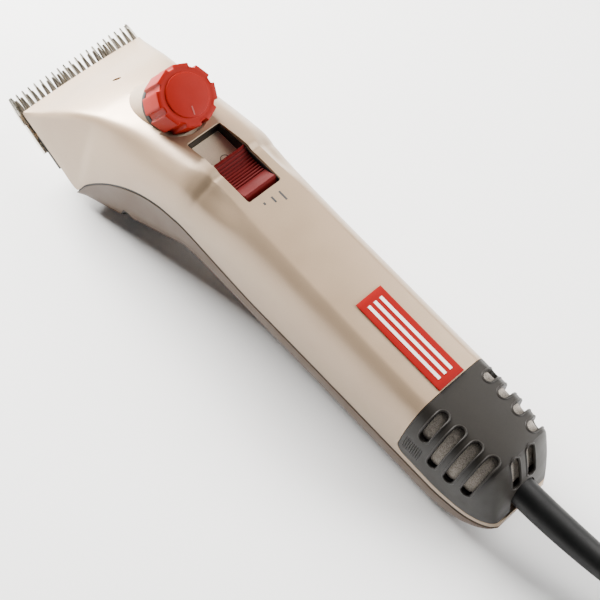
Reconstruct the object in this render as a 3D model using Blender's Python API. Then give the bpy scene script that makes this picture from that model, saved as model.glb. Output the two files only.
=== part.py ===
"""Mains animal clipper with a straight-blade shearing head, modelled as separate pieces.

The clipper is drawn in its handle frame, in millimetres: x runs from the comb tips to the cord,
y to the clipper's right, z up, and z = 0 is the parting plane of the handle's two shells.
The head has a frame of its own, pitched nose up, with u along the comb and w square to it.
"""

import math

import bmesh
import bpy
from mathutils import Matrix, Vector

MM = 0.001
GAP = 0.3  # between pieces that touch
WALL = 2.4  # shell thickness

# How the clipper lies: on its belly and on the rear of its lower shell.
REST_TILT = math.radians(5.9)
ORIGIN_X = -159.99
ORIGIN_Z = 49.6
FOOT_SKIN = 0.45  # ground off the belly and the rear to give them flat feet

# The head frame.
HEAD_PITCH = math.radians(28.0)
HEAD_Z = -13.3

# Comb and cutter.
COMB_WIDTH = 79.0
COMB_TEETH = 21
COMB_LENGTH = 33.0
COMB_GULLET = 14.0
COMB_HALF_THICK = 1.5
CUTTER_TEETH = 23
CUTTER_WIDTH = 76.0
CUTTER_LOW, CUTTER_HIGH = 1.8, 4.0

# Swing lever, tension stack and knob, all on one axis square to the comb.
PIVOT_U = 45.4
LEVER_LOW, LEVER_HIGH = 8.2, 11.0
BOLT_R = 3.0
KNOB_R = 15.2
KNOB_LOW, KNOB_HIGH = 85.4, 105.4
COLLAR_R, COLLAR_BORE_R, COLLAR_TOP = 12.6, 9.6, 84.4
DISH_R, DISH_WALL_R, DISH_UNDER = 16.9, 19.4, 81.6

# Motor and gear pair.
MOTOR_Z = 12.0
GEAR_MODULE = 0.6
PINION_TEETH, GEAR_TEETH = 10, 45
GEAR_Z = MOTOR_Z - GEAR_MODULE * (PINION_TEETH + GEAR_TEETH) / 2
GEAR_FRONT, GEAR_REAR = 104.0, 110.0
CRANK_THROW = 2.1
FORK_FRONT, FORK_REAR = 85.5, 92.4

# Switch window and slider.
WINDOW_FRONT, WINDOW_REAR, WINDOW_HALF = 101.6, 144.4, 10.2
SLIDER_FRONT, SLIDER_REAR, SLIDER_HALF = 119.3, 143.0, 9.1
BELLY_BORE_R = 5.0
BELLY_BORE_TOP = -22.0
FLOOR_TOP = 34.4
BEZEL_WALL = 0.5

# Rear cap.
CAP_FRONT = 266.8
CAP_LOW = 4.4
SLOT_XS = (275.2, 284.8, 294.4, 303.8)
SLOT_HALF = 2.5

# Cord.
RELIEF_END = 384.0
CORD_Z = 12.8
CORD_R = 3.5
COIL_CENTRE = (324.0, 5.0)
COIL_INNER, COIL_OUTER, COIL_HIGH = 29.2, 51.8, 29.0

# Shell stations: x, ridge half width, ridge height, crown, seam half width, seam height, bulge.
TOP_STATIONS = (
    (11.4, 38.0, -12.2, 1.6, 38.7, -14.0, 0.2),
    (20.0, 36.2, -5.2, 1.8, 38.6, -18.5, 0.2),
    (30.0, 32.9, 4.0, 2.2, 38.5, -23.8, 0.2),
    (40.0, 29.9, 12.4, 2.4, 38.4, -29.2, 0.25),
    (53.0, 26.4, 21.0, 2.4, 38.0, -36.1, 0.35),
    (58.6, 25.0, 24.0, 2.4, 37.0, -25.0, 0.4),
    (68.3, 22.7, 28.6, 2.2, 35.0, -12.4, 0.5),
    (81.2, 19.8, 33.3, 2.0, 33.0, -0.4, 0.6),
    (93.7, 17.6, 37.2, 1.6, 31.0, 6.4, 0.75),
    (106.8, 16.0, 41.1, 1.2, 29.4, 9.6, 0.9),
    (117.0, 15.1, 43.9, 1.0, 28.4, 9.6, 1.0),
    (121.5, 14.8, 44.5, 0.8, 27.9, 8.6, 1.0),
    (125.0, 14.8, 43.9, 0.7, 27.6, 7.8, 1.0),
    (140.0, 14.9, 43.9, 0.8, 26.7, 4.2, 1.0),
    (171.0, 15.3, 43.2, 0.8, 26.0, 0.0, 1.0),
    (200.0, 15.7, 42.4, 0.8, 25.8, 0.0, 1.0),
    (235.0, 16.0, 41.6, 0.8, 25.7, 0.0, 1.0),
    (266.8, 16.0, 41.2, 0.8, 25.7, 0.0, 1.0),
    (290.0, 15.0, 41.0, 0.9, 25.7, 0.0, 1.0),
    (300.0, 14.2, 40.9, 1.0, 24.9, 0.0, 0.95),
    (308.8, 13.4, 40.3, 1.0, 23.6, 0.0, 0.9),
    (312.5, 13.9, 33.2, 1.6, 22.6, 0.0, 0.8),
    (316.0, 14.5, 24.6, 1.8, 21.3, 0.0, 0.7),
    (319.5, 15.2, 14.0, 1.4, 19.4, 0.0, 0.6),
    (321.6, 15.6, 6.6, 0.8, 17.8, 0.0, 0.5),
    (323.6, 14.0, 2.6, 0.4, 15.0, 0.0, 0.4),
)

# Where both shells have a section, so that their edges run side by side.
SEAM_XS = (53, 55.5, 58.6, 63, 68.3, 75, 81.2, 87.5, 93.7, 100, 106.8, 112, 117, 121.5, 125)
SEAM_XS += (131, 140, 171, 200, 235, 266.8, 290, 300, 304, 308.8, 312.5, 316, 319.5, 321.6, 323.6)

# Lower shell stations: x, bottom height, how square the bottom corners are.
LOW_STATIONS = (
    (53.0, -39.6, 0.95),
    (60.0, -43.0, 0.95),
    (68.0, -44.0, 0.95),
    (76.0, -42.0, 0.95),
    (88.0, -36.4, 0.95),
    (104.0, -29.6, 0.92),
    (113.0, -24.4, 0.9),
    (120.0, -19.8, 0.88),
    (127.0, -18.8, 0.86),
    (140.0, -19.4, 0.85),
    (171.0, -20.0, 0.85),
    (235.0, -20.2, 0.85),
    (290.0, -20.2, 0.85),
    (302.0, -18.6, 0.85),
    (312.0, -14.2, 0.85),
    (319.0, -8.4, 0.85),
    (323.6, -3.0, 0.85),
)


# ---------------------------------------------------------------- small tools


def material(name, colour, roughness, metallic=0.0):
    """A Principled material, made once for each name."""
    found = bpy.data.materials.get(name)
    if found:
        return found
    made = bpy.data.materials.new(name)
    made.use_nodes = True
    shader = made.node_tree.nodes["Principled BSDF"]
    shader.inputs["Base Color"].default_value = (*colour, 1.0)
    shader.inputs["Roughness"].default_value = roughness
    shader.inputs["Metallic"].default_value = metallic
    return made


def finish(name, bm, stuff, parent=None, smooth=True):
    """Turn a bmesh drawn in millimetres into a named object in metres."""
    bmesh.ops.remove_doubles(bm, verts=bm.verts, dist=1e-5)
    bmesh.ops.recalc_face_normals(bm, faces=bm.faces)
    bmesh.ops.scale(bm, vec=(MM, MM, MM), verts=bm.verts)
    mesh = bpy.data.meshes.new(name)
    bm.to_mesh(mesh)
    bm.free()
    made = bpy.data.objects.new(name, mesh)
    bpy.context.scene.collection.objects.link(made)
    if smooth:
        mesh.shade_smooth()
        mesh.set_sharp_from_angle(angle=math.radians(35))
    if stuff:
        mesh.materials.append(stuff)
    made.parent = parent
    return made


def empty(name, parent=None, place=(0, 0, 0), turn=(0, 0, 0)):
    """A bare frame that pieces are parented to, placed in millimetres."""
    made = bpy.data.objects.new(name, None)
    bpy.context.scene.collection.objects.link(made)
    made.parent = parent
    made.location = Vector(place) * MM
    made.rotation_euler = turn
    return made


def loft(bm, rings):
    """Skin closed rings with the same number of points, and cap both ends."""
    made = [[bm.verts.new(p) for p in ring] for ring in rings]
    count = len(made[0])
    for near, far in zip(made, made[1:]):
        for i in range(count):
            j = (i + 1) % count
            bm.faces.new((near[i], near[j], far[j], far[i]))
    bm.faces.new(made[0])
    bm.faces.new(list(reversed(made[-1])))


def circle(radius, sides, height=0.0, turn=0.0):
    """Points around the z axis at one height."""
    step = 2 * math.pi / sides
    return [
        (radius * math.cos(turn + step * i), radius * math.sin(turn + step * i), height)
        for i in range(sides)
    ]


def turned(bm, profile, sides):
    """A solid of revolution about z from (radius, height) pairs in a closed loop."""
    rings = [[bm.verts.new(p) for p in circle(r, sides, h)] for r, h in profile]
    for near, far in zip(rings, rings[1:] + rings[:1]):
        for i in range(sides):
            j = (i + 1) % sides
            bm.faces.new((near[i], near[j], far[j], far[i]))


def rod(bm, steps, sides):
    """A solid round bar about z from (radius, height) steps, bottom to top."""
    loft(bm, [circle(r, sides, h) for r, h in steps])


def tube(bm, inner, outer, low, high, sides):
    """A ring with a square section."""
    turned(bm, [(inner, low), (outer, low), (outer, high), (inner, high)], sides)


def prism(bm, outline, low, high):
    """An outline in x and y, raised from low to high."""
    loft(bm, [[(x, y, low) for x, y in outline], [(x, y, high) for x, y in outline]])


def side_prism(bm, outline, half):
    """An outline in x and z, drawn out to both sides of y = 0."""
    loft(bm, [[(x, -half, z) for x, z in outline], [(x, half, z) for x, z in outline]])


def block(bm, low, high):
    """A box between two corners."""
    (x0, y0, z0), (x1, y1, z1) = low, high
    prism(bm, [(x0, y0), (x1, y0), (x1, y1), (x0, y1)], z0, z1)


def along_x(bm, place=(0, 0, 0)):
    """Turn what was drawn about z so that it lies along x, and move it."""
    turn = Matrix.Rotation(math.radians(90), 4, "Y")
    bmesh.ops.transform(bm, matrix=Matrix.Translation(place) @ turn, verts=bm.verts)


def move(bm, place):
    """Move everything drawn so far."""
    bmesh.ops.translate(bm, vec=place, verts=bm.verts)


def modify(made, cutter, operation):
    """Add one Boolean and put its cutter out of the way."""
    step = made.modifiers.new(operation.lower(), "BOOLEAN")
    step.operation = operation
    step.solver = "EXACT"
    step.object = cutter
    cutter.hide_render = True
    cutter.display_type = "WIRE"


def cutter(name, draw, parent):
    """A tool solid for a Boolean."""
    bm = bmesh.new()
    draw(bm)
    return finish(name, bm, None, parent, smooth=False)


def blended(stations, x):
    """The row of a station table at x, on smooth curves through its rows."""
    rows = list(stations)
    i = max(k for k in range(len(rows) - 1) if rows[k][0] <= x or k == 0)
    a, b = rows[i], rows[i + 1]
    before = rows[i - 1] if i else a
    after = rows[i + 2] if i + 2 < len(rows) else b
    span = b[0] - a[0]
    t = min(max((x - a[0]) / span, 0.0), 1.0)
    values = []
    for k in range(1, len(a)):
        steep = (b[k] - a[k]) / span
        start = (steep + (a[k] - before[k]) / (a[0] - before[0])) / 2 if i else steep
        end = (steep + (after[k] - b[k]) / (after[0] - b[0])) / 2 if after is not b else steep
        start = start if start * steep > 0 else 0.0
        end = end if end * steep > 0 else 0.0
        start = math.copysign(min(abs(start), 2.5 * abs(steep)), steep)
        end = math.copysign(min(abs(end), 2.5 * abs(steep)), steep)
        h = t * t * (3 - 2 * t)
        bend = span * (start * t * (1 - t) ** 2 - end * t * t * (1 - t))
        values.append(a[k] + (b[k] - a[k]) * h + bend)
    return values


def bezier(points, t):
    """A point on a cubic curve in a plane."""
    s = 1 - t
    weights = (s**3, 3 * s * s * t, 3 * s * t * t, t**3)
    return tuple(sum(w * p[k] for w, p in zip(weights, points)) for k in (0, 1))


# ---------------------------------------------------------------- the shells' sections


def top_half(x, inset=0.0, flank_steps=6, top_steps=3):
    """The right half of the upper section at x, from the crown's centre to the seam."""
    ridge_y, ridge_z, crown, seam_y, seam_z, bulge = blended(TOP_STATIONS, x)
    ridge_y -= 0.75 * inset
    ridge_z -= inset
    seam_y -= inset
    across, down = seam_y - ridge_y, ridge_z - seam_z
    flat = ((0.33, 0.33), (0.67, 0.67))
    full = ((0.70, 0.10), (1.19, 0.38))
    handles = [
        (
            ridge_y + across * (f[0] + bulge * (g[0] - f[0])),
            ridge_z - down * (f[1] + bulge * (g[1] - f[1])),
        )
        for f, g in zip(flat, full)
    ]
    curve = [(ridge_y, ridge_z), *handles, (seam_y, seam_z)]
    top = [
        (ridge_y * k / top_steps, ridge_z + crown * (1 - (k / top_steps) ** 2))
        for k in range(top_steps)
    ]
    return top + [bezier(curve, k / flank_steps) for k in range(flank_steps + 1)]


def top_ring(x, inset=0.0, lift=0.0, drop=None, flank_steps=6, top_steps=3):
    """The whole upper section, closed straight across at the seam or drop below it."""
    half = top_half(x, inset, flank_steps, top_steps)
    seam_y, seam_z = half[-1]
    half[-1] = (seam_y, seam_z + lift)
    if drop is not None:
        half.append((seam_y, seam_z - drop))
    left = [(x, -y, z) for y, z in reversed(half[1:])]
    return left + [(x, y, z) for y, z in half]


def low_half(x, inset=0.0, steps=6):
    """The right half of the lower section at x, from the seam to the bottom's centre."""
    _, _, _, seam_y, seam_z, _ = blended(TOP_STATIONS, x)
    bottom, square = blended(LOW_STATIONS, x)
    seam_y -= inset
    bottom += inset
    deep = seam_z - bottom
    curve = [
        (seam_y, seam_z),
        (seam_y, seam_z - square * deep),
        (seam_y * square, bottom),
        (0.0, bottom),
    ]
    return [bezier(curve, k / steps) for k in range(steps + 1)]


def low_ring(x, inset=0.0, lift=0.0, steps=6):
    """The whole lower section, closed straight across at lift above the seam."""
    half = low_half(x, inset, steps)
    seam_y, seam_z = half[0]
    if lift > 0:
        half.insert(0, (seam_y, seam_z + lift))
    else:
        half[0] = (seam_y, seam_z + lift)
    left = [(x, -y, z) for y, z in reversed(half[:-1])]
    return [(x, y, z) for y, z in half] + left


def head_point(x, z):
    """Handle frame x and z as the head frame's u and w."""
    rise = z - HEAD_Z
    u = x * math.cos(HEAD_PITCH) - rise * math.sin(HEAD_PITCH)
    w = x * math.sin(HEAD_PITCH) + rise * math.cos(HEAD_PITCH)
    return u, w


# ---------------------------------------------------------------- shells


def upper_housing(handle, head, paint):
    """The painted upper shell, from the front lip to the rim under the rear cap."""
    xs = [11.4, 15.5, 20, 25, 30, 35, 40, 46.5, *SEAM_XS]
    bm = bmesh.new()
    loft(bm, [top_ring(x, lift=GAP / 2) for x in xs])
    made = finish("upper_housing", bm, paint, handle)

    def hollow(bm):
        inner = [13.4, 20, 30, 40, 53, 68.3, 81.2, 93.7, 106.8, 120, 140, 171, 235, 290, 308, 321]
        loft(bm, [top_ring(x, WALL, drop=6, flank_steps=4, top_steps=2) for x in inner])

    def collar(bm):
        rod(bm, [(COLLAR_R + 1.2, 56), (COLLAR_R + 1.2, 79), (COLLAR_R, 82), (COLLAR_R, COLLAR_TOP)], 28)
        move(bm, (PIVOT_U, 0, 0))

    def dish(bm):
        rod(bm, [(DISH_R, COLLAR_TOP), (DISH_R, 120)], 32)
        move(bm, (PIVOT_U, 0, 0))

    def dish_floor(bm):
        rod(bm, [(DISH_WALL_R, DISH_UNDER), (DISH_WALL_R, 120)], 24)
        move(bm, (PIVOT_U, 0, 0))

    def bore(bm):
        rod(bm, [(COLLAR_BORE_R, 40), (COLLAR_BORE_R, 110)], 24)
        move(bm, (PIVOT_U, 0, 0))

    def window(bm):
        block(bm, (WINDOW_FRONT, -WINDOW_HALF, 30), (WINDOW_REAR, WINDOW_HALF, 60))

    def cap_room(bm):
        block(bm, (CAP_FRONT - GAP, -40, CAP_LOW - GAP), (340, 40, 60))

    modify(made, cutter("collar_tool", collar, head), "UNION")
    inside = cutter("upper_hollow_tool", hollow, handle)
    modify(inside, cutter("dish_floor_tool", dish_floor, head), "DIFFERENCE")
    modify(made, inside, "DIFFERENCE")
    modify(made, cutter("dish_tool", dish, head), "DIFFERENCE")
    modify(made, cutter("collar_bore_tool", bore, head), "DIFFERENCE")
    modify(made, cutter("window_tool", window, handle), "DIFFERENCE")
    modify(made, cutter("cap_room_tool", cap_room, handle), "DIFFERENCE")
    return made


def lower_housing(handle, paint):
    """The lower shell with the belly under the head, and flat feet where it lies."""
    bm = bmesh.new()
    loft(bm, [low_ring(x, lift=-GAP / 2) for x in SEAM_XS])
    made = finish("lower_housing", bm, paint, handle)
    screws = belly_screw_places()

    def hollow(bm):
        inner = [50, 53, 58.6, 68.3, 75, 87.5, 100, 112, 121.5, 131, 171, 290, 304, 312, 319.5]
        loft(bm, [low_ring(x, WALL, lift=8, steps=4) for x in inner])

    def boss(bm):
        rod(bm, [(BELLY_BORE_R + 2.2, -60), (BELLY_BORE_R + 2.2, BELLY_BORE_TOP + 4)], 16)

    def bore(bm):
        rod(bm, [(BELLY_BORE_R, -60), (BELLY_BORE_R, BELLY_BORE_TOP)], 18)

    def ground(bm):
        block(bm, (-400, -100, -90), (400, 100, FOOT_SKIN))

    inside = cutter("lower_hollow_tool", hollow, handle)
    for i, (x, y) in enumerate(screws):
        tool = cutter(f"belly_boss_tool_{i}", boss, handle)
        tool.location = Vector((x, y, 0)) * MM
        modify(inside, tool, "DIFFERENCE")
    modify(made, inside, "DIFFERENCE")
    for i, (x, y) in enumerate(screws):
        tool = cutter(f"belly_bore_tool_{i}", bore, handle)
        tool.location = Vector((x, y, 0)) * MM
        modify(made, tool, "DIFFERENCE")
    floor = cutter("ground_tool", ground, None)
    floor.location = (0, 0, -FOOT_SKIN * MM)
    modify(made, floor, "DIFFERENCE")
    return made


def belly_screw_places():
    """Where the two screws go up through the belly's rear corners."""
    return [(83.0, -27.0), (83.0, 27.0)]


def rear_cap(handle, plastic):
    """The slotted air intake cap with its arch over the cord."""
    xs = [CAP_FRONT, 278, 290, 300, 308.8, 312.5, 316, 319.5, 321.9]
    bm = bmesh.new()
    loft(bm, [top_ring(x, drop=3) for x in xs])
    made = finish("rear_cap", bm, plastic, handle)

    def below(bm):
        block(bm, (250, -50, -30), (340, 50, CAP_LOW))

    def hollow(bm):
        inner = [250, 268, 290, 300, 307, 311, 315, 318.6]
        loft(bm, [top_ring(x, WALL, drop=12, flank_steps=5, top_steps=2) for x in inner])

    def arch(bm):
        reach = 7.9
        angles = [math.pi * k / 10 for k in range(11)]
        outline = [(reach * math.cos(a), CORD_Z + reach * math.sin(a)) for a in angles]
        outline += [(-reach, -20), (reach, -20)]
        loft(bm, [[(x, y, z) for y, z in outline] for x in (305, 340)])

    modify(made, cutter("cap_below_tool", below, handle), "DIFFERENCE")
    modify(made, cutter("cap_hollow_tool", hollow, handle), "DIFFERENCE")
    modify(made, cutter("cap_arch_tool", arch, handle), "DIFFERENCE")
    for side in (-1, 1):
        for i, x in enumerate(SLOT_XS):
            low = 20.0 if i == 0 else 13.5
            modify(made, side_slot(f"slot_tool_{i}_{side}", x, low, side, handle), "DIFFERENCE")
    for i, y in enumerate((-4.9, 4.9)):
        modify(made, rear_slot(f"rear_slot_tool_{i}", y, handle), "DIFFERENCE")
    return made


def side_slot(name, x, low, side, handle):
    """A stadium cut that starts on the top's edge and runs down one flank."""

    def draw(bm):
        ends = [(13.0, 45.0), (34.0, 45.0), (34.0, low), (19.0, low)]
        rings = []
        for k in range(3):
            rings.append([(x + (k - 1) * SLOT_HALF, side * y, z) for y, z in ends])
        loft(bm, rings)

    return cutter(name, draw, handle)


def rear_slot(name, y, handle):
    """A slot down the slanted rear face."""

    def draw(bm):
        block(bm, (305.5, y - 2.3, 21.5), (330, y + 2.3, 50))

    return cutter(name, draw, handle)


def air_filter(handle, mesh_stuff):
    """The filter liner that lies just under the cap's slots."""
    xs = [270.5, 290, 300, 307, 311, 314]
    bm = bmesh.new()
    loft(bm, [top_ring(x, WALL + 1.0, flank_steps=5, top_steps=2) for x in xs])
    made = finish("air_filter", bm, mesh_stuff, handle)

    def hollow(bm):
        inner = [260, 270, 290, 300, 305, 308.5, 312]
        loft(bm, [top_ring(x, WALL + 2.2, drop=12, flank_steps=5, top_steps=2) for x in inner])

    def below(bm):
        block(bm, (250, -50, -30), (340, 50, 9.0))

    modify(made, cutter("filter_below_tool", below, handle), "DIFFERENCE")
    modify(made, cutter("filter_hollow_tool", hollow, handle), "DIFFERENCE")
    return made


def label_plate(handle, paint):
    """The red plate that lies on the crown in front of the cap."""
    bm = bmesh.new()
    rings = []
    for x in (212.6, 226, 240, 253, 266.2):
        half = top_half(x)
        crown, ridge_y, ridge_z = half[0][1], half[3][0], half[3][1]

        def height(y):
            return ridge_z + (crown - ridge_z) * (1 - (y / ridge_y) ** 2)

        ys = (-7.9, -4, 0, 4, 7.9)
        under = [(x, y, height(y) + GAP) for y in ys]
        over = [(x, y, height(y) + GAP + 0.5) for y in reversed(ys)]
        rings.append(under + over)
    loft(bm, rings)
    return finish("label_plate", bm, paint, handle)


# ---------------------------------------------------------------- switch


def switch_pieces(handle, red, dark, beige, board_stuff):
    """The window's dark liner, its floor, the ribbed slider and the switch under it."""
    half = WINDOW_HALF - GAP
    front, rear = WINDOW_FRONT + GAP, WINDOW_REAR - GAP
    low = FLOOR_TOP + GAP
    outline = [(front, low), (rear, low), (rear, 43.4), (120, 43.4), (110, 41.6), (front, 39.6)]
    bm = bmesh.new()
    side_prism(bm, outline, half)
    liner = finish("switch_bezel", bm, dark, handle, smooth=False)

    def inside(bm):
        corner = (front + BEZEL_WALL, BEZEL_WALL - half, 20)
        block(bm, corner, (rear - BEZEL_WALL, half - BEZEL_WALL, 60))

    modify(liner, cutter("bezel_tool", inside, handle), "DIFFERENCE")

    bm = bmesh.new()
    corner = (WINDOW_FRONT - 1.5, -half - 2, FLOOR_TOP - 1.6)
    block(bm, corner, (WINDOW_REAR + 1.5, half + 2, FLOOR_TOP))
    floor = finish("switch_floor", bm, beige, handle, smooth=False)

    def slit(bm):
        block(bm, (106.5, -1.9, 20), (139.5, 1.9, 50))

    modify(floor, cutter("floor_slit_tool", slit, handle), "DIFFERENCE")

    slide = empty("switch_slide_axis", handle, (SLIDER_FRONT, 0, 43))
    ribs = 10
    pitch = 1.45
    outline = [(SLIDER_FRONT, FLOOR_TOP + GAP), (SLIDER_FRONT, 44.0)]
    for k in range(ribs):
        x = SLIDER_FRONT + 0.5 + k * pitch
        deep = slider_dip(x)
        outline += [(x, deep), (x + 0.45, deep - 0.55), (x + 0.9, deep - 0.55), (x + 1.2, deep)]
    outline += [(136.0, 42.0), (140.6, 44.6), (SLIDER_REAR, 41.4), (SLIDER_REAR, FLOOR_TOP + GAP)]
    bm = bmesh.new()
    side_prism(bm, outline, SLIDER_HALF)
    move(bm, (-SLIDER_FRONT, 0, -43))
    slider = finish("switch_slider", bm, red, slide, smooth=False)

    def stem(bm):
        block(bm, (129.4, -1.5, 31.6), (137.0, 1.5, 38))
        move(bm, (-SLIDER_FRONT, 0, -43))

    modify(slider, cutter("slider_stem_tool", stem, slide), "UNION")

    bm = bmesh.new()
    block(bm, (105.5, -9, 26.2), (124.5, 9, 31.2))
    finish("speed_switch", bm, dark, handle, smooth=False)

    bm = bmesh.new()
    block(bm, (221, -17, 26.0), (257, 17, 27.6))
    board = finish("control_board", bm, board_stuff, handle, smooth=False)

    def parts(bm):
        block(bm, (224, -12, 20.0), (236, -2, 26.4))
        block(bm, (238, 0, 18.0), (250, 12, 26.4))

    modify(board, cutter("board_parts_tool", parts, handle), "UNION")


def slider_dip(x):
    """The slider's hollow top, between its front edge and the thumb ramp."""
    t = (x - SLIDER_FRONT) / (136.0 - SLIDER_FRONT)
    return 44.0 - 2.0 * t - 3.2 * math.sin(math.pi * t) ** 0.8 * (1 - 0.35 * t)


# ---------------------------------------------------------------- motor


def x_turned(name, profile, sides, stuff, parent, z=MOTOR_Z, x0=0.0):
    """A ring about the x axis from (radius, x) pairs in a closed loop."""
    bm = bmesh.new()
    turned(bm, profile, sides)
    along_x(bm, (-x0, 0, z))
    return finish(name, bm, stuff, parent)


def arc_outline(inner, outer, start, end, steps):
    """A sector of a ring, as points in a plane, angles in degrees."""
    angles = [math.radians(start + (end - start) * k / steps) for k in range(steps + 1)]
    out = [(outer * math.cos(a), outer * math.sin(a)) for a in angles]
    return out + [(inner * math.cos(a), inner * math.sin(a)) for a in reversed(angles)]


def stator(handle, steel, copper):
    """The laminated stator with two poles, and its two field coils."""
    points = []
    for k in range(48):
        angle = 2 * math.pi * k / 48
        near = abs(math.sin(angle)) > math.sin(math.radians(44))
        radius = 13.3 if near else 17.4
        points.append((radius * math.cos(angle), radius * math.sin(angle)))
    outer = [(21.0 * math.cos(a), 21.0 * math.sin(a)) for a in [2 * math.pi * k / 48 for k in range(48)]]
    bm = bmesh.new()
    rings = [
        [(x, y, z) for x, y in outline]
        for outline, z in ((outer, 147), (outer, 187), (points, 187), (points, 147))
    ]
    verts = [[bm.verts.new(p) for p in ring] for ring in rings]
    for near, far in zip(verts, verts[1:] + verts[:1]):
        for i in range(48):
            j = (i + 1) % 48
            bm.faces.new((near[i], near[j], far[j], far[i]))
    turn = Matrix.Rotation(math.radians(90), 4, "Z")
    bmesh.ops.transform(bm, matrix=turn, verts=bm.verts)
    along_x(bm, (0, 0, MOTOR_Z))
    finish("stator_core", bm, steel, handle)
    for name, middle in (("field_coil_left", -90), ("field_coil_right", 90)):
        bm = bmesh.new()
        prism(bm, arc_outline(13.6, 16.9, middle - 32, middle + 32, 6), 144, 190)
        along_x(bm, (0, 0, MOTOR_Z))
        finish(name, bm, copper, handle)


def rotor(handle, steel, copper, brass, plastic):
    """Everything that spins on the motor shaft. The shaft's frame lies on the motor's axis."""
    spin = empty("motor_axis", handle, (0, 0, MOTOR_Z))
    bm = bmesh.new()
    rod(bm, [(1.5, 102.5), (1.5, 111.6), (2.5, 111.7), (2.5, 219)], 12)
    along_x(bm)
    finish("motor_shaft", bm, steel, spin)
    hole = 2.8
    x_turned("rotor_core", [(hole, 148), (12.8, 148), (12.8, 186), (hole, 186)], 24, steel, spin, 0)
    front = [(hole, 144), (8, 143), (11.6, 144.5), (12, 147.7), (hole, 147.7)]
    x_turned("rotor_winding_front", front, 18, copper, spin, 0)
    rear = [(hole, 186.3), (12, 186.3), (11.6, 189), (8, 191), (hole, 191)]
    x_turned("rotor_winding_rear", rear, 18, copper, spin, 0)
    ring = [(hole, 195), (7.8, 195), (7.8, 205), (9.0, 205), (9.0, 206.5), (hole, 206.5)]
    x_turned("commutator", ring, 24, brass, spin, 0)
    fan(spin, plastic)
    pinion = gear_outline(PINION_TEETH, 0.0)
    bm = bmesh.new()
    gear_body(bm, pinion, 1.8, 104.2, 110.4)
    along_x(bm)
    finish("drive_pinion", bm, steel, spin)


def fan(spin, plastic):
    """The cooling fan: a hub, a back disc and straight blades."""
    bm = bmesh.new()
    tube(bm, 2.8, 17.0, 131.6, 133.2, 24)
    made_disc = finish("cooling_fan", bm, plastic, spin)
    turn_to_x(made_disc)

    def blades(bm):
        for k in range(8):
            angle = 2 * math.pi * k / 8
            verts_before = list(bm.verts)
            block(bm, (5.0, -0.7, 126.6), (16.6, 0.7, 132.0))
            new = [v for v in bm.verts if v not in verts_before]
            bmesh.ops.rotate(bm, cent=(0, 0, 0), matrix=Matrix.Rotation(angle, 3, "Z"), verts=new)

    tool = cutter("fan_blade_tool", blades, spin)
    turn_to_x(tool)
    modify(made_disc, tool, "UNION")

    def hub(bm):
        tube(bm, 2.8, 5.6, 126.6, 132.0, 24)

    tool = cutter("fan_hub_tool", hub, spin)
    turn_to_x(tool)
    modify(made_disc, tool, "UNION")


def turn_to_x(made):
    """Turn an object drawn about z so that it lies along x."""
    made.data.transform(Matrix.Rotation(math.radians(90), 4, "Y"))


def gear_outline(teeth, turn):
    """A gear's outline with straight-sided teeth, a little thinner than the pitch for backlash."""
    pitch_r = GEAR_MODULE * teeth / 2
    outer, root = pitch_r + 0.5, pitch_r - 0.72
    step = 2 * math.pi / teeth
    points = []
    for k in range(teeth):
        middle = turn + k * step
        for radius, share in ((root, -0.34), (outer, -0.13), (outer, 0.13), (root, 0.34)):
            angle = middle + share * step
            points.append((radius * math.cos(angle), radius * math.sin(angle)))
    return points


def gear_body(bm, outline, bore, low, high):
    """A gear with a round bore that has as many sides as the outline has points."""
    count = len(outline)
    hole = []
    for x, y in outline:
        angle = math.atan2(y, x)
        hole.append((bore * math.cos(angle), bore * math.sin(angle)))
    rings = [
        [(x, y, z) for x, y in line]
        for line, z in ((outline, low), (outline, high), (hole, high), (hole, low))
    ]
    verts = [[bm.verts.new(p) for p in ring] for ring in rings]
    for near, far in zip(verts, verts[1:] + verts[:1]):
        for i in range(count):
            j = (i + 1) % count
            bm.faces.new((near[i], near[j], far[j], far[i]))


def bearing(name, parent, steel, x0, z, inner, outer):
    """A ball bearing as one shielded ring."""
    profile = [(inner, x0), (outer, x0), (outer, x0 + 5), (inner, x0 + 5)]
    return x_turned(name, profile, 20, steel, parent, z)


def motor_mounts(handle, alloy, steel, plastic, carbon):
    """Bearings, the gear frame, the rear bracket and the brush holders."""
    bearing("motor_bearing_front", handle, steel, 114.0, MOTOR_Z, 2.8, 6.4)
    bearing("motor_bearing_rear", handle, steel, 211.0, MOTOR_Z, 2.8, 6.4)
    bearing("crank_bearing", handle, steel, 114.0, GEAR_Z, 3.3, 7.0)
    bm = bmesh.new()
    outline = [(-15.5, -11), (-9, -14.6), (9, -14.6), (15.5, -11), (20, 4), (17, 22), (10, 25.5)]
    outline += [(-10, 25.5), (-17, 22), (-20, 4)]
    loft(bm, [[(x, y, z) for y, z in outline] for x in (113.2, 120.0)])
    frame = finish("gear_frame", bm, alloy, handle, smooth=False)

    def holes(bm):
        rod(bm, [(6.7, 100), (6.7, 130)], 20)
        along_x(bm, (0, 0, MOTOR_Z))

    def crank_hole(bm):
        rod(bm, [(7.3, 100), (7.3, 130)], 20)
        along_x(bm, (0, 0, GEAR_Z))

    modify(frame, cutter("gear_frame_bore_tool", holes, handle), "DIFFERENCE")
    modify(frame, cutter("gear_frame_crank_tool", crank_hole, handle), "DIFFERENCE")
    profile = [(6.7, 210.2), (20.5, 210.2), (20.5, 213), (10, 217), (6.7, 217)]
    x_turned("rear_bracket", profile, 24, plastic, handle)
    for name, side in (("brush_holder_left", -1), ("brush_holder_right", 1)):
        bm = bmesh.new()
        low, high = sorted((side * 8.2, side * 19.0))
        block(bm, (196.5, low, MOTOR_Z - 3.2), (203.5, high, MOTOR_Z + 3.2))
        finish(name, bm, carbon, handle, smooth=False)


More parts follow.
